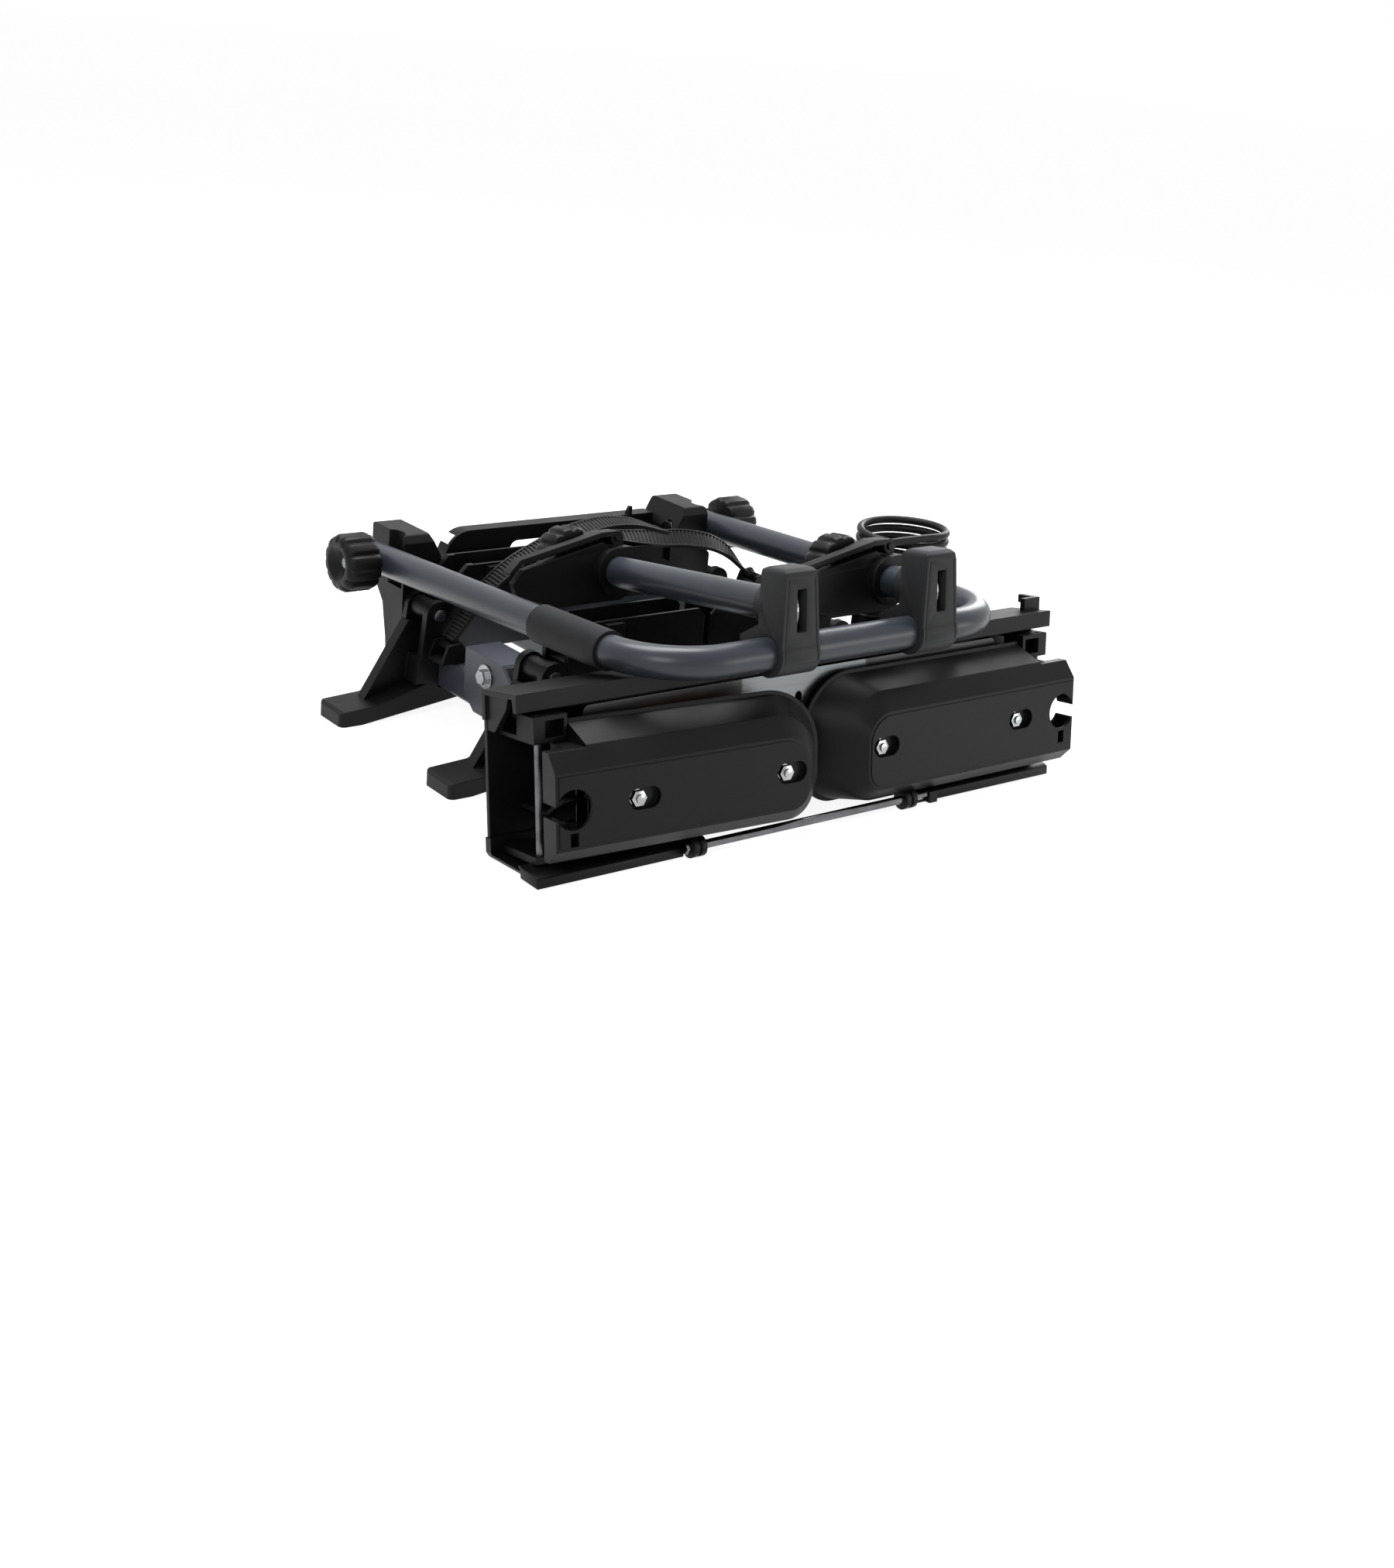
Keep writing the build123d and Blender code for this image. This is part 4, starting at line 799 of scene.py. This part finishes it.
discs = []
for side, end in zip(UNITS, ROD_ENDS):
    disc = add_disc(side, end)
    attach(disc, "platform")
    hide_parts("plate_rod")
    discs.append(disc)


# Materials
def new_material(name):
    material = bpy.data.materials.new(name)
    material.use_nodes = True
    tree = material.node_tree
    return material, tree, tree.nodes["Principled BSDF"]


def add_noise(tree, scale, detail):
    """Noise on the object's own coordinates; the scale is in cells per metre."""
    coords = tree.nodes.new("ShaderNodeTexCoord")
    noise = tree.nodes.new("ShaderNodeTexNoise")
    noise.inputs["Scale"].default_value = scale
    noise.inputs["Detail"].default_value = detail
    noise.inputs["Roughness"].default_value = 0.55
    tree.links.new(coords.outputs["Object"], noise.inputs["Vector"])
    return noise


def ramp_between(tree, source, low, high, start=0.35, end=0.65):
    """Colour ramp from low to high colour over part of the source's range."""
    ramp = tree.nodes.new("ShaderNodeValToRGB")
    ramp.color_ramp.elements[0].position = start
    ramp.color_ramp.elements[1].position = end
    ramp.color_ramp.elements[0].color = (*low, 1)
    ramp.color_ramp.elements[1].color = (*high, 1)
    tree.links.new(source, ramp.inputs["Fac"])
    return ramp


def map_value(tree, source, low, high):
    mapped = tree.nodes.new("ShaderNodeMapRange")
    mapped.inputs["From Min"].default_value = 0.3
    mapped.inputs["From Max"].default_value = 0.7
    mapped.inputs["To Min"].default_value = low
    mapped.inputs["To Max"].default_value = high
    tree.links.new(source, mapped.inputs["Value"])
    return mapped


def finish_surface(tree, shader, grain, strength, depth, edge):
    """Grain as bump over softened edges."""
    bevel = tree.nodes.new("ShaderNodeBevel")
    bevel.samples = 4
    bevel.inputs["Radius"].default_value = edge
    bump = tree.nodes.new("ShaderNodeBump")
    bump.inputs["Strength"].default_value = strength
    bump.inputs["Distance"].default_value = depth
    tree.links.new(grain, bump.inputs["Height"])
    tree.links.new(bevel.outputs["Normal"], bump.inputs["Normal"])
    tree.links.new(bump.outputs["Normal"], shader.inputs["Normal"])


def moulded(name, low, high, rough_low, rough_high, grain=900, strength=0.25):
    """Moulded plastic or rubber with spark-eroded grain and slight wear."""
    material, tree, shader = new_material(name)
    cloud = add_noise(tree, 14, 4)
    fine = add_noise(tree, grain, 2)
    tone = ramp_between(tree, cloud.outputs["Fac"], low, high)
    gloss = map_value(tree, cloud.outputs["Fac"], rough_low, rough_high)
    tree.links.new(tone.outputs["Color"], shader.inputs["Base Color"])
    tree.links.new(gloss.outputs["Result"], shader.inputs["Roughness"])
    shader.inputs["Specular IOR Level"].default_value = 0.16
    finish_surface(tree, shader, fine.outputs["Fac"], strength, 0.0003, 0.0012)
    return material


def painted(name, low, high):
    """Powder coat on steel tube: fine orange peel under a satin sheen."""
    material, tree, shader = new_material(name)
    cloud = add_noise(tree, 9, 3)
    peel = add_noise(tree, 1400, 2)
    tone = ramp_between(tree, cloud.outputs["Fac"], low, high)
    gloss = map_value(tree, cloud.outputs["Fac"], 0.33, 0.42)
    tree.links.new(tone.outputs["Color"], shader.inputs["Base Color"])
    tree.links.new(gloss.outputs["Result"], shader.inputs["Roughness"])
    shader.inputs["Metallic"].default_value = 0.10
    shader.inputs["Specular IOR Level"].default_value = 0.35
    shader.inputs["Coat Weight"].default_value = 0.12
    shader.inputs["Coat Roughness"].default_value = 0.22
    finish_surface(tree, shader, peel.outputs["Fac"], 0.12, 0.0002, 0.0006)
    return material


def metal(name, low, high, rough_low, rough_high):
    """Bare or plated metal with faint clouds and handling marks."""
    material, tree, shader = new_material(name)
    cloud = add_noise(tree, 60, 4)
    fine = add_noise(tree, 1100, 3)
    tone = ramp_between(tree, cloud.outputs["Fac"], low, high)
    gloss = map_value(tree, cloud.outputs["Fac"], rough_low, rough_high)
    tree.links.new(tone.outputs["Color"], shader.inputs["Base Color"])
    tree.links.new(gloss.outputs["Result"], shader.inputs["Roughness"])
    shader.inputs["Metallic"].default_value = 1.0
    finish_surface(tree, shader, fine.outputs["Fac"], 0.15, 0.0002, 0.0004)
    return material


def mix_in_painted_shade(tree, shader, factor, varied, tone, plain):
    """Base colour from a varied tone in one socket of a mix and a plain painted shade in the
    other.
    """
    mix = tree.nodes.new("ShaderNodeMix")
    mix.data_type = "RGBA"
    mix.inputs["B" if varied == "A" else "A"].default_value = plain
    tree.links.new(factor.outputs["Color"], mix.inputs["Factor"])
    tree.links.new(tone.outputs["Color"], mix.inputs[varied])
    tree.links.new(mix.outputs["Result"], shader.inputs["Base Color"])


def lens_material():
    """Ribbed red lamp cover towards the car; its other faces are near black, painted shade of the
    hood's inside.
    """
    material, tree, shader = new_material("lens_red")
    cells = tree.nodes.new("ShaderNodeTexVoronoi")
    coords = tree.nodes.new("ShaderNodeTexCoord")
    cells.inputs["Scale"].default_value = 260
    tree.links.new(coords.outputs["Object"], cells.inputs["Vector"])
    tone = ramp_between(
        tree, cells.outputs["Distance"], (0.16, 0.004, 0.005), (0.24, 0.007, 0.008), 0.1, 0.6
    )
    facing = tree.nodes.new("ShaderNodeSeparateXYZ")
    tree.links.new(coords.outputs["Normal"], facing.inputs["Vector"])
    # Painted shade: all faces of the lens but those towards the car are near black
    back = ramp_between(tree, facing.outputs["Y"], (0, 0, 0), (1, 1, 1), 0.90, 0.96)
    mix_in_painted_shade(tree, shader, back, "B", tone, (0.006, 0.006, 0.006, 1))
    shader.inputs["Roughness"].default_value = 0.16
    finish_surface(tree, shader, cells.outputs["Distance"], 0.5, 0.0004, 0.0008)
    return material


def plate_material():
    """Bright brushed plate between the light units, with painted shade in black where they lie
    over it.
    """
    material, tree, shader = new_material("plate_brushed")
    coords = tree.nodes.new("ShaderNodeTexCoord")
    stretch = tree.nodes.new("ShaderNodeMapping")
    stretch.inputs["Scale"].default_value = (30, 900, 900)
    tree.links.new(coords.outputs["Object"], stretch.inputs["Vector"])
    brush = tree.nodes.new("ShaderNodeTexNoise")
    brush.inputs["Scale"].default_value = 1.0
    brush.inputs["Detail"].default_value = 3
    tree.links.new(stretch.outputs["Vector"], brush.inputs["Vector"])
    tone = ramp_between(
        tree, brush.outputs["Fac"], (0.11, 0.118, 0.121), (0.16, 0.168, 0.171), 0.3, 0.7
    )
    place = tree.nodes.new("ShaderNodeSeparateXYZ")
    tree.links.new(coords.outputs["Object"], place.inputs["Vector"])
    middle = tree.nodes.new("ShaderNodeMath")
    middle.operation = "ABSOLUTE"
    tree.links.new(place.outputs["X"], middle.inputs[0])
    # Painted shade: beyond 0.075 m from the middle, where the light units lie over the plate, it
    # is near black and not metallic
    plate_painted_shade_mask = ramp_between(tree, middle.outputs["Value"], (0, 0, 0), (1, 1, 1), 0.075, 0.077)
    mix_in_painted_shade(tree, shader, plate_painted_shade_mask, "A", tone, (0.006, 0.006, 0.0065, 1))
    gloss = map_value(tree, brush.outputs["Fac"], 0.30, 0.44)
    tree.links.new(gloss.outputs["Result"], shader.inputs["Roughness"])
    # Metallic only outside the painted shade
    plate_unshaded_part = tree.nodes.new("ShaderNodeMath")
    plate_unshaded_part.operation = "SUBTRACT"
    plate_unshaded_part.inputs[0].default_value = 1.0
    tree.links.new(plate_painted_shade_mask.outputs["Color"], plate_unshaded_part.inputs[1])
    tree.links.new(plate_unshaded_part.outputs["Value"], shader.inputs["Metallic"])
    finish_surface(tree, shader, brush.outputs["Fac"], 0.1, 0.0002, 0.0004)
    return material


MATERIALS = {
    "frame_paint": painted("paint_blue_grey", (0.029, 0.035, 0.046), (0.036, 0.043, 0.056)),
    "beam_paint": painted("paint_beam", (0.045, 0.051, 0.068), (0.054, 0.061, 0.080)),
    "black_plastic": moulded(
        "plastic_black", (0.0036, 0.0036, 0.0040), (0.0052, 0.0052, 0.0056), 0.38, 0.48
    ),
    "dark_sleeve": moulded(
        "sleeve_grey", (0.014, 0.0145, 0.016), (0.019, 0.0195, 0.021), 0.55, 0.68, 1500, 0.4
    ),
    "zinc": metal("zinc_plate", (0.26, 0.27, 0.28), (0.40, 0.41, 0.41), 0.18, 0.30),
    "polished": metal("steel_polished", (0.13, 0.13, 0.135), (0.18, 0.18, 0.185), 0.08, 0.14),
    # The plate's finish holds painted shade where the light units lie over it
    "bright_plate": plate_material(),
    "dark_steel": metal("steel_dark", (0.10, 0.10, 0.105), (0.16, 0.16, 0.165), 0.34, 0.5),
    # The lens holds painted shade on its faces into the hood
    "lens": lens_material(),
    "board": moulded(
        "board_green", (0.01, 0.06, 0.03), (0.015, 0.09, 0.04), 0.3, 0.4, 600, 0.1
    ),
    "strap": moulded(
        "strap_black", (0.008, 0.008, 0.0085), (0.012, 0.012, 0.0125), 0.34, 0.46, 700, 0.2
    ),
    "cable": moulded(
        "cable_black", (0.007, 0.007, 0.0075), (0.011, 0.011, 0.0115), 0.38, 0.5, 800, 0.15
    ),
    # Lighter than the black plastic: partly a satin finish, partly painted light for the light on
    # the clamps' front faces
    "satin_black": moulded(
        "plastic_satin_painted_light", (0.030, 0.031, 0.033), (0.040, 0.041, 0.043), 0.42, 0.52
    ),
    "castings": moulded(
        "casting_black", (0.012, 0.012, 0.013), (0.02, 0.02, 0.021), 0.5, 0.62, 420, 0.6
    ),
}


def dress(piece, slot):
    """Give a piece the finish of one of the record's material slots."""
    piece.data.materials.clear()
    piece.data.materials.append(MATERIALS[slot])


# Sub-parts whose finish isn't that of their slot in the record
OWN_FINISH = {"beam_brackets": "beam_paint", "hinge_rods": "dark_steel"}
for row in frame["record"]["subparts"]:
    piece = nodes[row["node"]]
    for material_slot in piece.material_slots:
        material_slot.material = MATERIALS[OWN_FINISH.get(row["node"], row["material_slot"])]

for piece in [lead, *cables]:
    dress(piece, "cable")
for piece in straps:
    dress(piece, "strap")
for piece in [*hoods, *knobs, *heads, *flanges, *discs]:
    dress(piece, "black_plastic")
# Clamps take the lighter black, which holds painted light as well as their satin finish
for piece in clamps:
    dress(piece, "satin_black")
for piece in nuts:
    dress(piece, "zinc")
for piece in [bar, *clamp_bands]:
    dress(piece, "polished")
for piece in lenses:
    dress(piece, "lens")


# Floor, backdrop and light
FLOOR_HALF = 14
FLOOR_GLOW = 0.90
WORLD_FILL = 0.10


def seen_directly(tree):
    """1 for rays that show the backdrop: to the camera, mirrored or through glass."""
    path = tree.nodes.new("ShaderNodeLightPath")
    total = path.outputs["Is Camera Ray"]
    for kind in ("Is Glossy Ray", "Is Transmission Ray"):
        most = tree.nodes.new("ShaderNodeMath")
        most.operation = "MAXIMUM"
        tree.links.new(total, most.inputs[0])
        tree.links.new(path.outputs[kind], most.inputs[1])
        total = most.outputs["Value"]
    return most


def add_floor():
    """Pale floor that glows only where it is seen, so that it still takes shadows."""
    mesh = bpy.data.meshes.new("floor")
    corners = rectangle(-FLOOR_HALF, -FLOOR_HALF, FLOOR_HALF, FLOOR_HALF)
    corners = [(x, y, 0) for x, y in corners]
    mesh.from_pydata(corners, [], [(0, 1, 2, 3)])
    floor = bpy.data.objects.new("floor", mesh)
    floor.location.z = -0.0005
    bpy.context.collection.objects.link(floor)
    material = bpy.data.materials.new("floor_white")
    material.use_nodes = True
    tree = material.node_tree
    shader = tree.nodes["Principled BSDF"]
    shader.inputs["Base Color"].default_value = (0.5, 0.5, 0.5, 1)
    shader.inputs["Roughness"].default_value = 0.9
    shader.inputs["Specular IOR Level"].default_value = 0.1
    shader.inputs["Emission Color"].default_value = (1, 1, 1, 1)
    glow = tree.nodes.new("ShaderNodeMath")
    glow.operation = "MULTIPLY"
    glow.inputs[1].default_value = FLOOR_GLOW
    tree.links.new(seen_directly(tree).outputs["Value"], glow.inputs[0])
    tree.links.new(glow.outputs["Value"], shader.inputs["Emission Strength"])
    floor.data.materials.append(material)


def add_world():
    """White where it is seen, and a weak fill light for everything else."""
    world = bpy.data.worlds.new("studio")
    world.use_nodes = True
    tree = world.node_tree
    background = tree.nodes["Background"]
    background.inputs["Color"].default_value = (1, 1, 1, 1)
    strength = tree.nodes.new("ShaderNodeMapRange")
    strength.inputs["To Min"].default_value = WORLD_FILL
    strength.inputs["To Max"].default_value = 1.0
    tree.links.new(seen_directly(tree).outputs["Value"], strength.inputs["Value"])
    tree.links.new(strength.outputs["Result"], background.inputs["Strength"])
    bpy.context.scene.world = world


def add_area(name, place, target, size, power):
    data = bpy.data.lights.new(name, "AREA")
    data.shape = "RECTANGLE"
    data.size, data.size_y = size
    data.energy = power
    lamp = bpy.data.objects.new(name, data)
    lamp.location = place
    lamp.rotation_euler = (Vector(target) - Vector(place)).to_track_quat("-Z", "Y").to_euler()
    bpy.context.collection.objects.link(lamp)


add_floor()
add_world()
add_area("top_soft", (0.1, 0.6, 2.2), (0, 0, 0.1), (1.6, 1.0), 60)
add_area("key_left", (-1.9, -1.4, 1.5), (0, 0, 0.1), (0.9, 0.9), 16)
add_area("front_low", (1.7, -2.3, 0.35), (0, -0.2, 0.1), (1.5, 1.0), 16)
add_area("rim_right", (1.9, 0.9, 1.1), (0, 0, 0.1), (0.7, 1.4), 22)

view_settings = bpy.context.scene.view_settings
view_settings.view_transform = "Standard"
